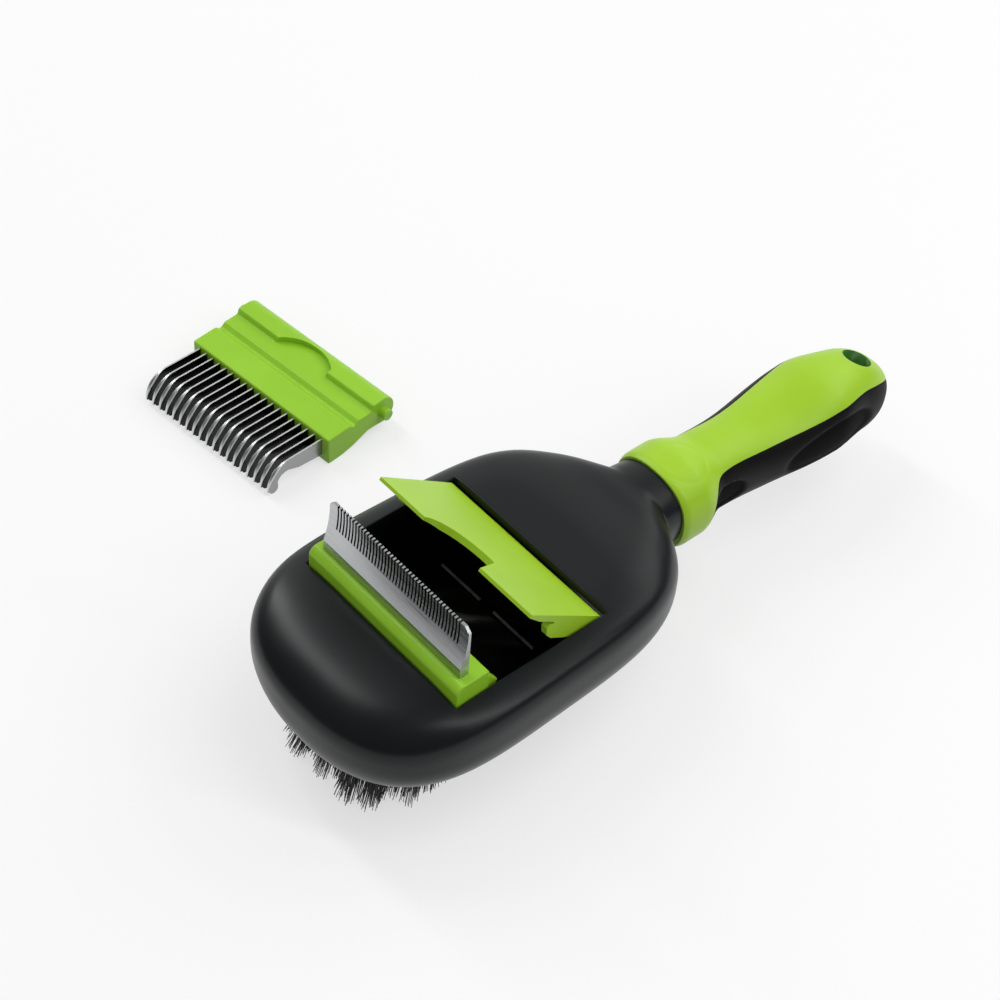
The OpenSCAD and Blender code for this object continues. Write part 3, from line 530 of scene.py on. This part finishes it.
# Deshedding blade: hardened stainless strip, hollow ground on its front and slotted into teeth.
# Its plain spine runs down into the carrier, where the pins cross its tang.
BLADE_FRONT, BLADE_BACK, EDGE_T = -1.9, 1.3, 1
SPINE_Z, EDGE_Z, TANG_Z, HOLLOW = 15.5, 31, 7.7, 0.8
BLADE_HALF, TOOTH_PITCH, SLOT_W, SLOT_DEPTH, CORNER, SLOTS = 30.7, 1.34, 0.66, 9, 1.7, 20
MIX_A, MIX_B, MIX_OUT = 6, 7, 2  # the colour sockets of a mix node


def blade_face(z):
    """The front of the blade: flat spine, then the hollow grind up to the edge."""
    s = max(0, (z - SPINE_Z) / (EDGE_Z - SPINE_Z))
    return BLADE_FRONT + (BLADE_BACK - BLADE_FRONT - EDGE_T) * s + HOLLOW * 4 * s * (1 - s)


def blade_block(low, high, levels, corner=0):
    """A length of blade; where an end is the blade's own, a corner is cut off at the edge."""
    rings = []
    for z in levels:
        cut = max(0, z - EDGE_Z + corner)
        a = low + (cut if corner and low < -BLADE_HALF + 0.1 else 0)
        b = high - (cut if corner and high > BLADE_HALF - 0.1 else 0)
        x = blade_face(z)
        rings.append([(x, a, z), (BLADE_BACK, a, z), (BLADE_BACK, b, z), (x, b, z)])
    return capped(rings)


# Ground stainless: bright grey, grinding lines along the blade drawn at 0.3 mm to show
ground_steel, tree, shader, place = plain("ground_stainless_steel", metallic=1, roughness=0.3)
line_scale = (cells(1 / 3), cells(50 / 3), cells(1 / 3))
stretch = add(tree, "Mapping", {"Vector": place, "Scale": line_scale})
lines = add(tree, "TexNoise", {"Vector": stretch, "Scale": 1, "Detail": 3})
# the walls of the slots are painted dark, a painted shade between the teeth
slot_painted_shade = add(tree, "Attribute", attribute_name="slot_painted_shade").outputs["Fac"]
bright = add(tree, "ValToRGB", {"Fac": lines}, tones=("#B0B2B4", "#C8CACB"))
blend = {"Factor": slot_painted_shade, MIX_A: bright, MIX_B: linear("#1C1D1E")}
add(tree, "Mix", blend, shader.inputs["Base Color"], MIX_OUT, data_type="RGBA")
add(tree, "ValToRGB", {"Fac": lines}, shader.inputs["Roughness"], tones=(0.24, 0.4))
relief = {"Height": lines, "Strength": 0.08, "Distance": 0.00005}
add(tree, "Bump", relief, shader.inputs["Normal"])

slot_z = EDGE_Z - SLOT_DEPTH
levels = [TANG_Z, SPINE_Z] + list(np.linspace(SPINE_Z, slot_z, 10)[1:])
blocks = [blade_block(-BLADE_HALF, BLADE_HALF, levels)]
levels = list(np.linspace(slot_z, EDGE_Z - CORNER, 8)) + [EDGE_Z]
slots = [k * TOOTH_PITCH for k in range(-SLOTS, SLOTS + 1)]
starts = [-BLADE_HALF] + [y + SLOT_W / 2 for y in slots]
stops = [y - SLOT_W / 2 for y in slots] + [BLADE_HALF]
blocks += [blade_block(low, high, levels, CORNER) for low, high in zip(starts, stops)]
blade = piece("deshedding_blade_strip", *merged(blocks), ground_steel, crease=12)
slot_shade_faces = blade.data.attributes.new("slot_painted_shade", "FLOAT", "FACE")
for face in blade.data.polygons:
    within = abs(face.center.y) < (BLADE_HALF - 1) / 1000
    slot_shade_faces.data[face.index].value = abs(face.normal.y) > 0.9 and within
blade.data.transform(carrier_place)
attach(blade, "blade_cartridge")
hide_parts("deshedding_blade")
finish_node("blade_pins", ground_steel)

# Flap: a green ABS lid with a rounded knuckle, a thin free edge and a finger notch.
# Hooked cheeks at its ends carry the two steel hinge pins, pressed in after assembly.
FLAP_PIVOT, FLAP_OPEN = (16.7, 44.7), 36.3
FLAP_R, FLAP_LEN, FLAP_T, FLAP_EDGE, FLAP_BEVEL, FLAP_HALF = 4.3, 34.1, 2.2, 1.1, 5.8, 33.4
CHEEK_T, KNUCKLE_R, FLAP_EDGE_R = 2.3, 2.6, 0.5
FLAP_NOTCH, NOTCH_MID, NOTCH_FAR, NOTCH_WALL, NOTCH_PAST = 10.4, -5, 13.4, (-11.2, -8.4), 3


def flap_notch(edge):
    """The flap's finger notch seen from above: a long arc that ends at a leaning wall."""
    half = NOTCH_FAR - NOTCH_MID
    curve = [
        (edge + FLAP_NOTCH * math.sqrt(max(0, 1 - ((y - NOTCH_MID) / half) ** 2)), y)
        for y in np.linspace(NOTCH_WALL[1], NOTCH_FAR, 60)
    ]
    wall = [(edge - NOTCH_PAST, NOTCH_WALL[0]), (edge, NOTCH_WALL[0])]
    return wall + curve + [(edge - NOTCH_PAST, NOTCH_FAR)]


lid = (
    [(-FLAP_LEN, FLAP_R), (0, FLAP_R)]
    + arc(0, 0, FLAP_R, 90, 0, 20)[1:]
    + arc(0, 0, FLAP_R - FLAP_T, 0, 90, 14)
    + [(FLAP_BEVEL - FLAP_LEN, FLAP_R - FLAP_T), (-FLAP_LEN, FLAP_R - FLAP_EDGE)]
)
flap = piece("flap_moulding", *prism(lid, -FLAP_HALF, FLAP_HALF), green_abs)
cheek = (
    [(-0.62 * FLAP_LEN, FLAP_R - 0.9 * FLAP_T), (0, 0.9 * FLAP_R)]
    + arc(0, 0, KNUCKLE_R, 50, -90, 20)
    + [(-0.35 * FLAP_LEN, -0.79 * FLAP_R), (-0.52 * FLAP_LEN, -0.84 * FLAP_R)]
    + [(-0.6 * FLAP_LEN, -0.65 * FLAP_R), (-0.66 * FLAP_LEN, -0.1 * FLAP_R)]
    + [(-0.65 * FLAP_LEN, 0.21 * FLAP_R), (-0.6 * FLAP_LEN, 0.33 * FLAP_R)]
)
for low, high in ((-FLAP_HALF, CHEEK_T - FLAP_HALF), (FLAP_HALF - CHEEK_T, FLAP_HALF)):
    carve(flap, piece("cheek", *prism(cheek, low, high), green_abs), "UNION")
carve(flap, piece("notch", *prism(flap_notch(-FLAP_LEN), -9, 9, "z"), green_abs))
rounded(flap, FLAP_EDGE_R)
opened = Matrix.Rotation(math.radians(FLAP_OPEN), 4, "Y")
flap_at = Matrix.Translation((FLAP_PIVOT[0] / 1000, 0, FLAP_PIVOT[1] / 1000))
flap.data.transform(flap_at @ opened)
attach(flap, "cover_flap")
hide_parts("flap")
finish_node("flap_hinge_pins", ground_steel)

# Handle: a green ABS core on the neck's spigot, held by a screw under the collar.
# The core shows as the collar and the top of the handle; a thumb mark is moulded in its front.
COLLAR_X, GRIP_X, HANDLE_END, CAP_LEN = 72.8, 84.4, 177.5, 24.5
COLLAR_EDGE, COLLAR_DRAFT = 2.6, 0.05
# half sizes and the height of the axis, each followed by (change, from, to) along the handle
HALF_WIDTH = (16.3, (-3.6, 9.8, 20.8), (3.8, 25.8, 67.8), (-2.9, 71.2, 87.2))
HALF_HEIGHT = (15.1, (-3.1, 8.8, 21.8), (3, 39.8, 77.8))
AXIS, AXIS_DROP, DROP_LEN = (33, (-1.4, 16.8, 41.8)), 6.2, 34.5
GRIP_T, HANDLE_POWER, CAP_POWER = 2.4, 2.4, 2.3
HANG_X, HANG_R = 164.7, 5
GROOVE, GROOVE_START = 0.22, 3
THUMB_AT, THUMB_R, THUMB_DEPTH, THUMB_W, THUMB_Z = (82.1, -2.6), 8, 0.14, 0.55, 38
GREEN_ARC, GRIP_ARC, LOW_ARC = 150, 90, 48


def handle_cap(x):
    """The share of the handle's full size that is left near its rounded end."""
    past = min(1, max(0, (x - HANDLE_END + CAP_LEN) / CAP_LEN))
    return max(0, 1 - past**CAP_POWER) ** (1 / CAP_POWER)


def eased(x, start, *changes):
    return start + sum(change * ease(x, a, b) for change, a, b in changes)


def handle_point(x, turn, inset):
    """A point on the handle at an angle from the far side over the top, in degrees."""
    d = x - COLLAR_X
    fit = handle_cap(x) * (1 - COLLAR_DRAFT * (1 - min(1, d / COLLAR_EDGE)) ** 2)
    wide, tall = fit * eased(d, *HALF_WIDTH) - inset, fit * eased(d, *HALF_HEIGHT) - inset
    axis = eased(d, *AXIS) - AXIS_DROP * max(0, 1 - (HANDLE_END - x) / DROP_LEN) ** 1.5
    c, s = math.cos(math.radians(turn)), math.sin(math.radians(turn))
    return x, wide * spow(c, 2 / HANDLE_POWER), axis + tall * spow(s, 2 / HANDLE_POWER)


def far_turn(x):
    """How much more of the far side the grip covers along the waist."""
    return 8 * ease(x, 92, 108) * (1 - ease(x, 132, 152))


def green_turn(x):
    """How far the green reaches from the top to each side; it closes to a ring at the collar."""
    return 48 + 6 * ease(x - COLLAR_X, 41.8, 73.8) + 124 * math.exp(-max(0, x - GRIP_X) / 2.6)


def grip_depth(x):
    return GRIP_T * min(1, max(0, (x - GRIP_X) / 1.6)) * min(1, 1.6 * handle_cap(x))


def groove_depth(x):
    """The depth of the fine groove where the two materials meet."""
    return GROOVE * ease(x, GRIP_X, GRIP_X + GROOVE_START) * min(1, 2 * handle_cap(x))


def groove_share(k, count):
    """The share of that depth at one of a row of points: all of it at the ends."""
    return {0: 1, 1: 0.3}.get(min(k, count - 1 - k), 0)


def arc_turns(start, stop, count):
    """Angles between two ends, with one more close to each end for the groove there."""
    near = (stop - start) / (count - 1)
    inner = list(np.linspace(start, stop, count)[1:-1])
    return [start, start + 0.25 * near] + inner + [stop - 0.25 * near, stop]


def under_grip(x, start, stop, depth):
    """The core's surface under the grip, which closes to a straight line at the tip."""
    a, b = (Vector(handle_point(x, turn, depth)) for turn in (start, stop))
    flat = ease(x, HANDLE_END - 5, HANDLE_END - 0.5)
    made = []
    for s in np.linspace(0, 1, LOW_ARC):
        at = Vector(handle_point(x, start + s * (stop - start), depth))
        made.append(tuple(at.lerp(a.lerp(b, s), flat)))
    return made


collar_x = list(COLLAR_X + COLLAR_EDGE * np.linspace(0, 1, 9) ** 1.5)
collar_x += list(np.arange(COLLAR_X + 3, GRIP_X, 0.4))
cap_turns = [math.radians(a) for a in np.linspace(2, 82, 34)]
grip_x = list(GRIP_X + np.array([0.3, 0.6, 0.9, 1.2, 1.6])) + list(np.arange(GRIP_X + 2, 94, 0.4))
grip_x += list(np.arange(94, HANDLE_END - CAP_LEN, 1))
grip_x += [HANDLE_END - CAP_LEN * (1 - math.sin(a)) for a in cap_turns]
rings = []
for x in collar_x + grip_x:
    green = green_turn(x) if x > GRIP_X else 180 - 1e-3
    groove = groove_depth(x)
    turns = arc_turns(90 - green + far_turn(x), 90 + green, GREEN_ARC)
    ring = []
    for k, turn in enumerate(turns):
        _, y, z = handle_point(x, turn, groove * groove_share(k, len(turns)))
        if z > THUMB_Z:
            off_mark = math.hypot(x - THUMB_AT[0], y - THUMB_AT[1]) - THUMB_R
            z -= THUMB_DEPTH * math.exp(-((off_mark / THUMB_W) ** 2))
        ring.append((x, y, z))
    depth = max(grip_depth(x), groove)
    rings.append(ring + under_grip(x, 90 + green, 450 - green + far_turn(x), depth))
core = piece("handle_core_moulding", *capped(rings), green_abs)
hang = prism(circle(HANG_X, 0, HANG_R, 48), 0, 60, "z")
carve(core, piece("hang_hole", *hang, green_abs))
# The hole's wall is painted dark green, a painted shade inside the deep bore
bore_shade_green_abs = green_plastic("painted_shade_bore_green_abs", "#2E6A1E", "#3A7A22")
core.data.materials.append(bore_shade_green_abs)
for face in core.data.polygons:
    x, y, _ = face.center * 1000
    in_bore = math.hypot(x - HANG_X, y) < HANG_R
    face.material_index = int(in_bore and abs(face.normal.z) < 0.1)
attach(core, "brush")
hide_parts("handle_core")
finish_node("neck_spigot", satin_abs)
finish_node("collar_screw", plated)

# Grip: soft black thermoplastic rubber, moulded over the lower half of the core.
# Two shallow finger pads are sunk in each side: a small one by the collar, a long one at the palm.
PADS = ((140.5, 185, 22, 31), (95, 183, 8.5, 20))  # x, turn and the reach in each
PAD_DEPTH, PAD_RIM = 0.8, 0.16


def pad_depth(x, turn):
    """How far the finger pads sink the grip at a place on it."""
    t = turn if 90 <= turn <= 270 else (180 - turn) % 360
    depth = 0
    for pad_x, pad_turn, reach_x, reach_turn in PADS:
        reach = math.hypot((x - pad_x) / reach_x, (t - pad_turn) / reach_turn)
        depth = max(depth, PAD_DEPTH * ease(1 - reach, 0, PAD_RIM))
    return depth


# Soft rubber overmould: matt near-black with a fine leathery grain drawn at 0.6 mm to show
soft_rubber, tree, shader, place = plain(
    "soft_black_rubber_overmould", roughness=0.5, ior=1.5, specular_ior_level=0.12
)
tone = add(tree, "TexNoise", {"Vector": place, "Scale": cells(20), "Detail": 4})
grain = add(tree, "TexNoise", {"Vector": place, "Scale": cells(0.588), "Detail": 2})
# the sunk pads are left rough by the mould, so they shine less; their colour is darkened as painted
# shade in the recess
in_pad = add(tree, "Attribute", attribute_name="pad").outputs["Fac"]
skin = add(tree, "ValToRGB", {"Fac": tone}, tones=("#080809", "#0F0F10"))
blend = {"Factor": in_pad, MIX_A: skin, MIX_B: linear("#030303")}
add(tree, "Mix", blend, shader.inputs["Base Color"], MIX_OUT, data_type="RGBA")
satin = add(tree, "ValToRGB", {"Fac": tone}, tones=(0.44, 0.58))
blend = {"Factor": in_pad, MIX_A: satin, MIX_B: (0.85, 0.85, 0.85, 1)}
add(tree, "Mix", blend, shader.inputs["Roughness"], MIX_OUT, data_type="RGBA")
relief = {"Height": grain, "Strength": 0.15, "Distance": 0.0001}
add(tree, "Bump", relief, shader.inputs["Normal"])

rings = []
for x in grip_x:
    start, stop = 90 + green_turn(x), 450 - green_turn(x) + far_turn(x)
    depth = grip_depth(x)
    groove = min(groove_depth(x), 0.5 * depth)
    turns = arc_turns(start, stop, GRIP_ARC)
    ring = []
    for k, turn in enumerate(turns):
        share = groove_share(k, len(turns))
        inset = groove * share if share else min(pad_depth(x, turn), 0.6 * depth)
        ring.append(handle_point(x, turn, inset))
    rings.append(ring + under_grip(x, stop, start, depth))
grip = piece("handle_grip_overmould", *capped(rings), soft_rubber)
carve(grip, piece("hang_hole", *hang, soft_rubber))
pad = grip.data.attributes.new("pad", "FLOAT", "POINT")
for vertex in grip.data.vertices:
    x, y, z = vertex.co * 1000
    wide, high = handle_point(x, 0, 0)[1], handle_point(x, 90, 0)[2]
    axis = (handle_point(x, 270, 0)[2] + high) / 2
    c, s = spow(y / wide, HANDLE_POWER / 2), spow((z - axis) / (high - axis), HANDLE_POWER / 2)
    pad.data[vertex.index].value = pad_depth(x, math.degrees(math.atan2(s, c)) % 360) / PAD_DEPTH
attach(grip, "brush")
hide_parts("handle_grip")

# Rake cartridge: a green ABS body with the same pivot stubs and a finger notch, lying loose.
# Nineteen stamped steel blades stand in slots in its front, threaded on one rod.
RAKE_AT, RAKE_YAW = (50, 134), 6.1
RAKE_HALF, RAKE_LEN, RAKE_BODY, RAKE_TOP, RAKE_DROP, RAKE_PLATE = 33, 55, 30.4, 13.2, 2.2, 9.8
RAKE_PIVOT, RAKE_BEND, RAKE_BLADES, RAKE_SPAN = 5.4, 9, 19, 59.4
TANG_LOW, TANG_IN, SHOULDER, FLAT, STEP, GROOVE_W, GROOVE_D = 2.2, 2, 1.3, 5.4, 0.6, 5, 1.4
NOTCH_HALF, NOTCH_DEPTH, NOTCH_STEP = 12.8, 6, 2
CORNER_R, END_R, BEND_LIMIT = 0.9, 0.5, 25
rake_turn = Matrix.Rotation(math.radians(RAKE_YAW), 4, "Z")
rake_place = Matrix.Translation((RAKE_AT[0] / 1000, RAKE_AT[1] / 1000, 0)) @ rake_turn
deck_z, groove_x = RAKE_TOP - RAKE_DROP, -RAKE_PLATE - STEP - FLAT
body = (
    arc(-RAKE_PIVOT, RAKE_TOP - RAKE_PIVOT, RAKE_PIVOT, -80, 90, 40)
    + [(-RAKE_PLATE, RAKE_TOP), (-RAKE_PLATE - STEP, deck_z)]
    + [
        (groove_x - GROOVE_W * s, deck_z - GROOVE_D * (1 - math.cos(math.tau * s)) / 2)
        for s in np.linspace(0, 1, 17)
    ]
    + [(-RAKE_BODY, deck_z), (-RAKE_BODY, 0), (-0.79 * RAKE_BODY, 0)]
    + [(-0.62 * RAKE_BODY, 0.07 * RAKE_TOP)]
    + [(-0.4 * RAKE_BODY, 0.24 * RAKE_TOP), (-0.3 * RAKE_BODY, 0.23 * RAKE_TOP)]
)


def corners_of(outline):
    """Each point of a closed outline with the points before and after it."""
    for i, at in enumerate(outline):
        after = outline[(i + 1) % len(outline)]
        yield Vector(at), Vector(outline[i - 1]), Vector(after)


def softened(outline, radius):
    """An outline with its corners rounded; slight bends are left."""
    made = []
    for p, a, b in corners_of(outline):
        turn = math.pi - (a - p).angle(b - p)
        if turn < math.radians(BEND_LIMIT):
            made.append(tuple(p))
            continue
        cut = min(radius * math.tan(turn / 2), 0.45 * (a - p).length, 0.45 * (b - p).length)
        u, v = p + cut * (a - p).normalized(), p + cut * (b - p).normalized()
        for t in np.linspace(0, 1, 8):
            made.append(tuple((1 - t) ** 2 * u + 2 * t * (1 - t) * p + t * t * v))
    return made


def drawn_in(outline, depth):
    """An outline with the material to the left of its run, moved inward."""
    made = []
    for p, a, b in corners_of(outline):
        run = ((p - a).normalized() + (b - p).normalized()).normalized()
        half = 0.5 * (p - a).angle(b - p)
        made.append(tuple(p + Vector((-run.y, run.x)) * depth / max(0.6, math.cos(half))))
    return made


body = softened(body, CORNER_R)
rings = []
for side in (-1, 1):
    for turn in np.linspace(0, 90, 6)[:: -side]:
        s, c = math.sin(math.radians(turn)), math.cos(math.radians(turn))
        y = side * (RAKE_HALF - END_R * (1 - c))
        rings.append([(x, y, z) for x, z in drawn_in(body, END_R * (1 - s))])
    if side < 0:
        rings += [[(x, y, z) for x, z in body] for y in np.linspace(-30, 30, 21)]
rake = piece("rake_body_moulding", *capped(rings), green_abs_painted_shade)
# the notch is an arc with a square step at its near end
notch_r = (NOTCH_HALF**2 + NOTCH_DEPTH**2) / (2 * NOTCH_DEPTH)
notch_x, step_y = NOTCH_DEPTH - RAKE_PLATE - notch_r, NOTCH_STEP - NOTCH_HALF
start = math.degrees(math.asin(step_y / notch_r))
notch = [(notch_x - notch_r, step_y)] + arc(notch_x, 0, notch_r, start, 180, 60)
carve(rake, piece("notch", *prism(notch, deck_z + 0.01, 30, "z"), green_abs_painted_shade))
stub = circle(-RAKE_PIVOT, RAKE_TOP - RAKE_PIVOT, STUB_R, 32)
carve(rake, piece("stub", *prism(stub, -STUB_HALF, STUB_HALF), green_abs_painted_shade), "UNION")
rake.data.shade_smooth()
rake.data.set_sharp_from_angle(angle=math.radians(35))
rake.modifiers.new("flat_faces", "WEIGHTED_NORMAL").keep_sharp = True
rake.data.transform(rake_place)
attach(rake, "rake")
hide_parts("rake_body")

# Stainless steel: the sides are painted near-black as painted shade between the blades, the edges
# are ground bright.
# Its rolling marks are drawn at 0.4 mm to show
shaded_side_steel, tree, shader, place = plain(
    "stainless_steel_ground_edges_painted_shade_sides", metallic=1, roughness=0.2
)
mark_scale = (cells(12.5), cells(0.4), cells(0.4))
stretch = add(tree, "Mapping", {"Vector": place, "Scale": mark_scale})
marks = add(tree, "TexNoise", {"Vector": stretch, "Scale": 1, "Detail": 3})
ground = add(tree, "Attribute", attribute_name="ground").outputs["Fac"]
# the sides' near-black tone is painted shade
skin = add(tree, "ValToRGB", {"Fac": marks}, tones=("#1C1D1E", "#2A2B2C"))
blend = {"Factor": ground, MIX_A: skin, MIX_B: linear("#DADBDB")}
add(tree, "Mix", blend, shader.inputs["Base Color"], MIX_OUT, data_type="RGBA")
smooth = add(tree, "ValToRGB", {"Fac": marks}, tones=(0.14, 0.26))
blend = {"Factor": ground, MIX_A: smooth, MIX_B: (0.45, 0.45, 0.45, 1)}
add(tree, "Mix", blend, shader.inputs["Roughness"], MIX_OUT, data_type="RGBA")

# the strip is thin, and upset to its full thickness where it is bent
STRIP_T, BEND_T, FACET, BEND_FROM, BEND_POINTS = 0.55, 1, 1.1, 3, 24
# how much lighter the end blades' outer sides are painted
HALF_PAINTED_LIGHT = 0.45
bend, bend_x, bend_z = RAKE_BEND, RAKE_BEND - RAKE_LEN, 0.21 * RAKE_BEND
hook = (
    [(-RAKE_BODY + TANG_IN, TANG_LOW), (-RAKE_BODY + TANG_IN, deck_z - SHOULDER)]
    + [(-RAKE_BODY, deck_z - SHOULDER)]
    + [
        (bend_x + 0.98 * bend * math.cos(a), bend_z + bend * math.sin(a))
        for a in np.linspace(math.pi / 2, math.pi, BEND_POINTS)
    ]
    + arc(bend_x - 0.68 * bend, bend_z, 0.21 * bend, 190, 350, 16)
    + [(bend_x - 0.49 * bend, 0.46 * bend), (bend_x - 0.4 * bend, 0.58 * bend)]
    + [(bend_x - 0.29 * bend, 0.66 * bend), (bend_x - 0.12 * bend, 0.7 * bend)]
    + [(bend_x + 0.04 * bend, 0.69 * bend), (bend_x + 0.56 * bend, 0.47 * bend)]
)
n = len(hook)
swells, inner = [], []
for i, (x, z) in enumerate(hook):
    along = min(1, max(0, (i - BEND_FROM) / (BEND_POINTS - 1)))
    swells.append(max(0, math.sin(math.pi * along)) ** 1.3)
    toward = Vector((bend_x - x, bend_z - z)).normalized() * FACET * swells[i]
    inner.append((x + toward.x, z + toward.y))
for k in range(RAKE_BLADES):
    y = -RAKE_SPAN / 2 + k * RAKE_SPAN / (RAKE_BLADES - 1)
    points, faces = [], [(i, (i + 1) % n, n + (i + 1) % n, n + i) for i in range(n)]
    for side in (-1, 1):
        for (x, z), s in zip(hook, swells):
            points.append((x, y + side * (STRIP_T + (BEND_T - STRIP_T) * s) / 2, z))
    for side, rim in ((-1, 0), (1, n)):
        flat = len(points)
        points += [(x, y + side * STRIP_T / 2, z) for x, z in inner]
        faces += [tuple(range(flat, flat + n))]
        for i in range(BEND_FROM, BEND_FROM + BEND_POINTS - 1):
            faces.append((rim + i, rim + i + 1, flat + i + 1, flat + i))
    tine = piece(f"rake_blade_strip_{k + 1:02d}", points, faces, shaded_side_steel, crease=10)
    ground_faces = tine.data.attributes.new("ground", "FLOAT", "FACE")
    outward = {0: -1, RAKE_BLADES - 1: 1}.get(k, 0)
    for face in tine.data.polygons:
        # the outer sides of the two end blades are painted lighter, a painted reflection, as no
        # blade stands beside them
        painted_light = HALF_PAINTED_LIGHT * (face.normal.y * outward > 0)
        ground_faces.data[face.index].value = 1 if abs(face.normal.y) < 0.995 else painted_light
    tine.data.transform(rake_place)
    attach(tine, "rake")
    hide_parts(f"rake_blade_{k + 1:02d}")
finish_node("rake_rod", shaded_side_steel)

# Studio: a white floor and backdrop, a tall narrow box to the left, a strip to the right and
# a low wide box behind. The room behind the camera is dim, so that the near sides stay dark.
FLOOR_HALF, FLOOR_GLOW = 3000, 0.6
ROOM, BEHIND, BACKDROP, BACKDROP_SPAN = 0.5, (0.56, 0.8, 0.2), (0.05, 0.85), (0.65, 0.85)
# Matt paper: grey enough to throw little light up, shown white, and it keeps the shadow
paper, tree, shader, place = plain("matt_white_paper", roughness=0.9, specular_ior_level=0)
fibre = add(tree, "TexNoise", {"Vector": place, "Scale": cells(0.667), "Detail": 2})
add(tree, "ValToRGB", {"Fac": fibre}, shader.inputs["Base Color"], tones=("#A2A2A2", "#A6A6A6"))


def seen_ray(tree):
    """One for rays from the camera, and for those that shine or pass through to it."""
    path = add(tree, "LightPath").outputs
    through = {0: path["Is Glossy Ray"], 1: path["Is Transmission Ray"]}
    shine = add(tree, "Math", through, operation="MAXIMUM")
    return add(tree, "Math", {0: path["Is Camera Ray"], 1: shine}, operation="MAXIMUM")


shader.inputs["Emission Color"].default_value = (1, 1, 1, 1)
glow = shader.inputs["Emission Strength"]
add(tree, "ValToRGB", {"Fac": seen_ray(tree)}, glow, tones=(0, FLOOR_GLOW), span=(0, 1))
around = ((-1, -1), (1, -1), (1, 1), (-1, 1))
corners = [(FLOOR_HALF * x, FLOOR_HALF * y, 0) for x, y in around]
floor = piece("floor", corners, [(0, 1, 2, 3)], paper)

world = bpy.data.worlds.new("studio")
world.use_nodes = True
bpy.context.scene.world = world
tree = world.node_tree
tree.nodes.clear()
room = add(tree, "Background", {"Color": (1, 1, 1, 1), "Strength": ROOM})
# the backdrop is white behind the object, and the room falls off to dark in front of it
direction = add(tree, "TexCoord").outputs["Generated"]
behind = add(tree, "VectorMath", {0: direction, 1: BEHIND}, operation="DOT_PRODUCT")
toward = {"Fac": behind.outputs["Value"]}
white = add(tree, "ValToRGB", toward, tones=BACKDROP, span=BACKDROP_SPAN)
backdrop = add(tree, "Background", {"Color": white, "Strength": 1})
chosen = add(tree, "MixShader", {0: seen_ray(tree), 1: room, 2: backdrop})
add(tree, "OutputWorld", {"Surface": chosen})

TARGET = Vector((0.02, 0.03, 0.03))
# name, azimuth and elevation in degrees, distance and size in metres, watts
LAMPS = (
    ("left_box", 93, 46, 2, (0.22, 1.5), 11),
    ("right_strip", -62, 56, 1.2, (0.12, 1.4), 4.2),
    ("back_box", -8, 40, 1.5, (1.2, 0.7), 4.8),
)
for name, azimuth, elevation, distance, size, power in LAMPS:
    lamp = bpy.data.lights.new(name, "AREA")
    lamp.shape, lamp.energy = "RECTANGLE", power
    lamp.size, lamp.size_y = size
    made = bpy.data.objects.new(name, lamp)
    bpy.context.scene.collection.objects.link(made)
    a, e = math.radians(azimuth), math.radians(elevation)
    toward = Vector((math.cos(e) * math.cos(a), math.cos(e) * math.sin(a), math.sin(e)))
    facing = toward.to_track_quat("Z", "Y").to_matrix().to_4x4()
    made.matrix_world = Matrix.Translation(TARGET + distance * toward) @ facing

# Camera: it stands where the photo was taken from, above the toe and to its right.
# Its place, turn and lens come from a fit to the straight edges of the opening, blade and flap.
VIEW_AT, LENS, SENSOR = (-0.31822, -0.33483, 0.57491), 86.4, 36
VIEW_RIGHT = Vector((0.75698, -0.65082, 0.05848))
VIEW_UP = Vector((0.44617, 0.58018, 0.68141))
VIEW_BACK = Vector((-0.47740, -0.48973, 0.72956))
camera = bpy.data.cameras.new("camera")
camera.lens, camera.sensor_width = LENS, SENSOR
camera.clip_start, camera.clip_end = 0.01, 10
view = bpy.data.objects.new("camera", camera)
bpy.context.scene.collection.objects.link(view)
facing = Matrix((VIEW_RIGHT, VIEW_UP, VIEW_BACK)).transposed().to_4x4()
view.matrix_world = Matrix.Translation(VIEW_AT) @ facing
bpy.context.scene.camera = view
bpy.context.scene.view_settings.view_transform = "Standard"
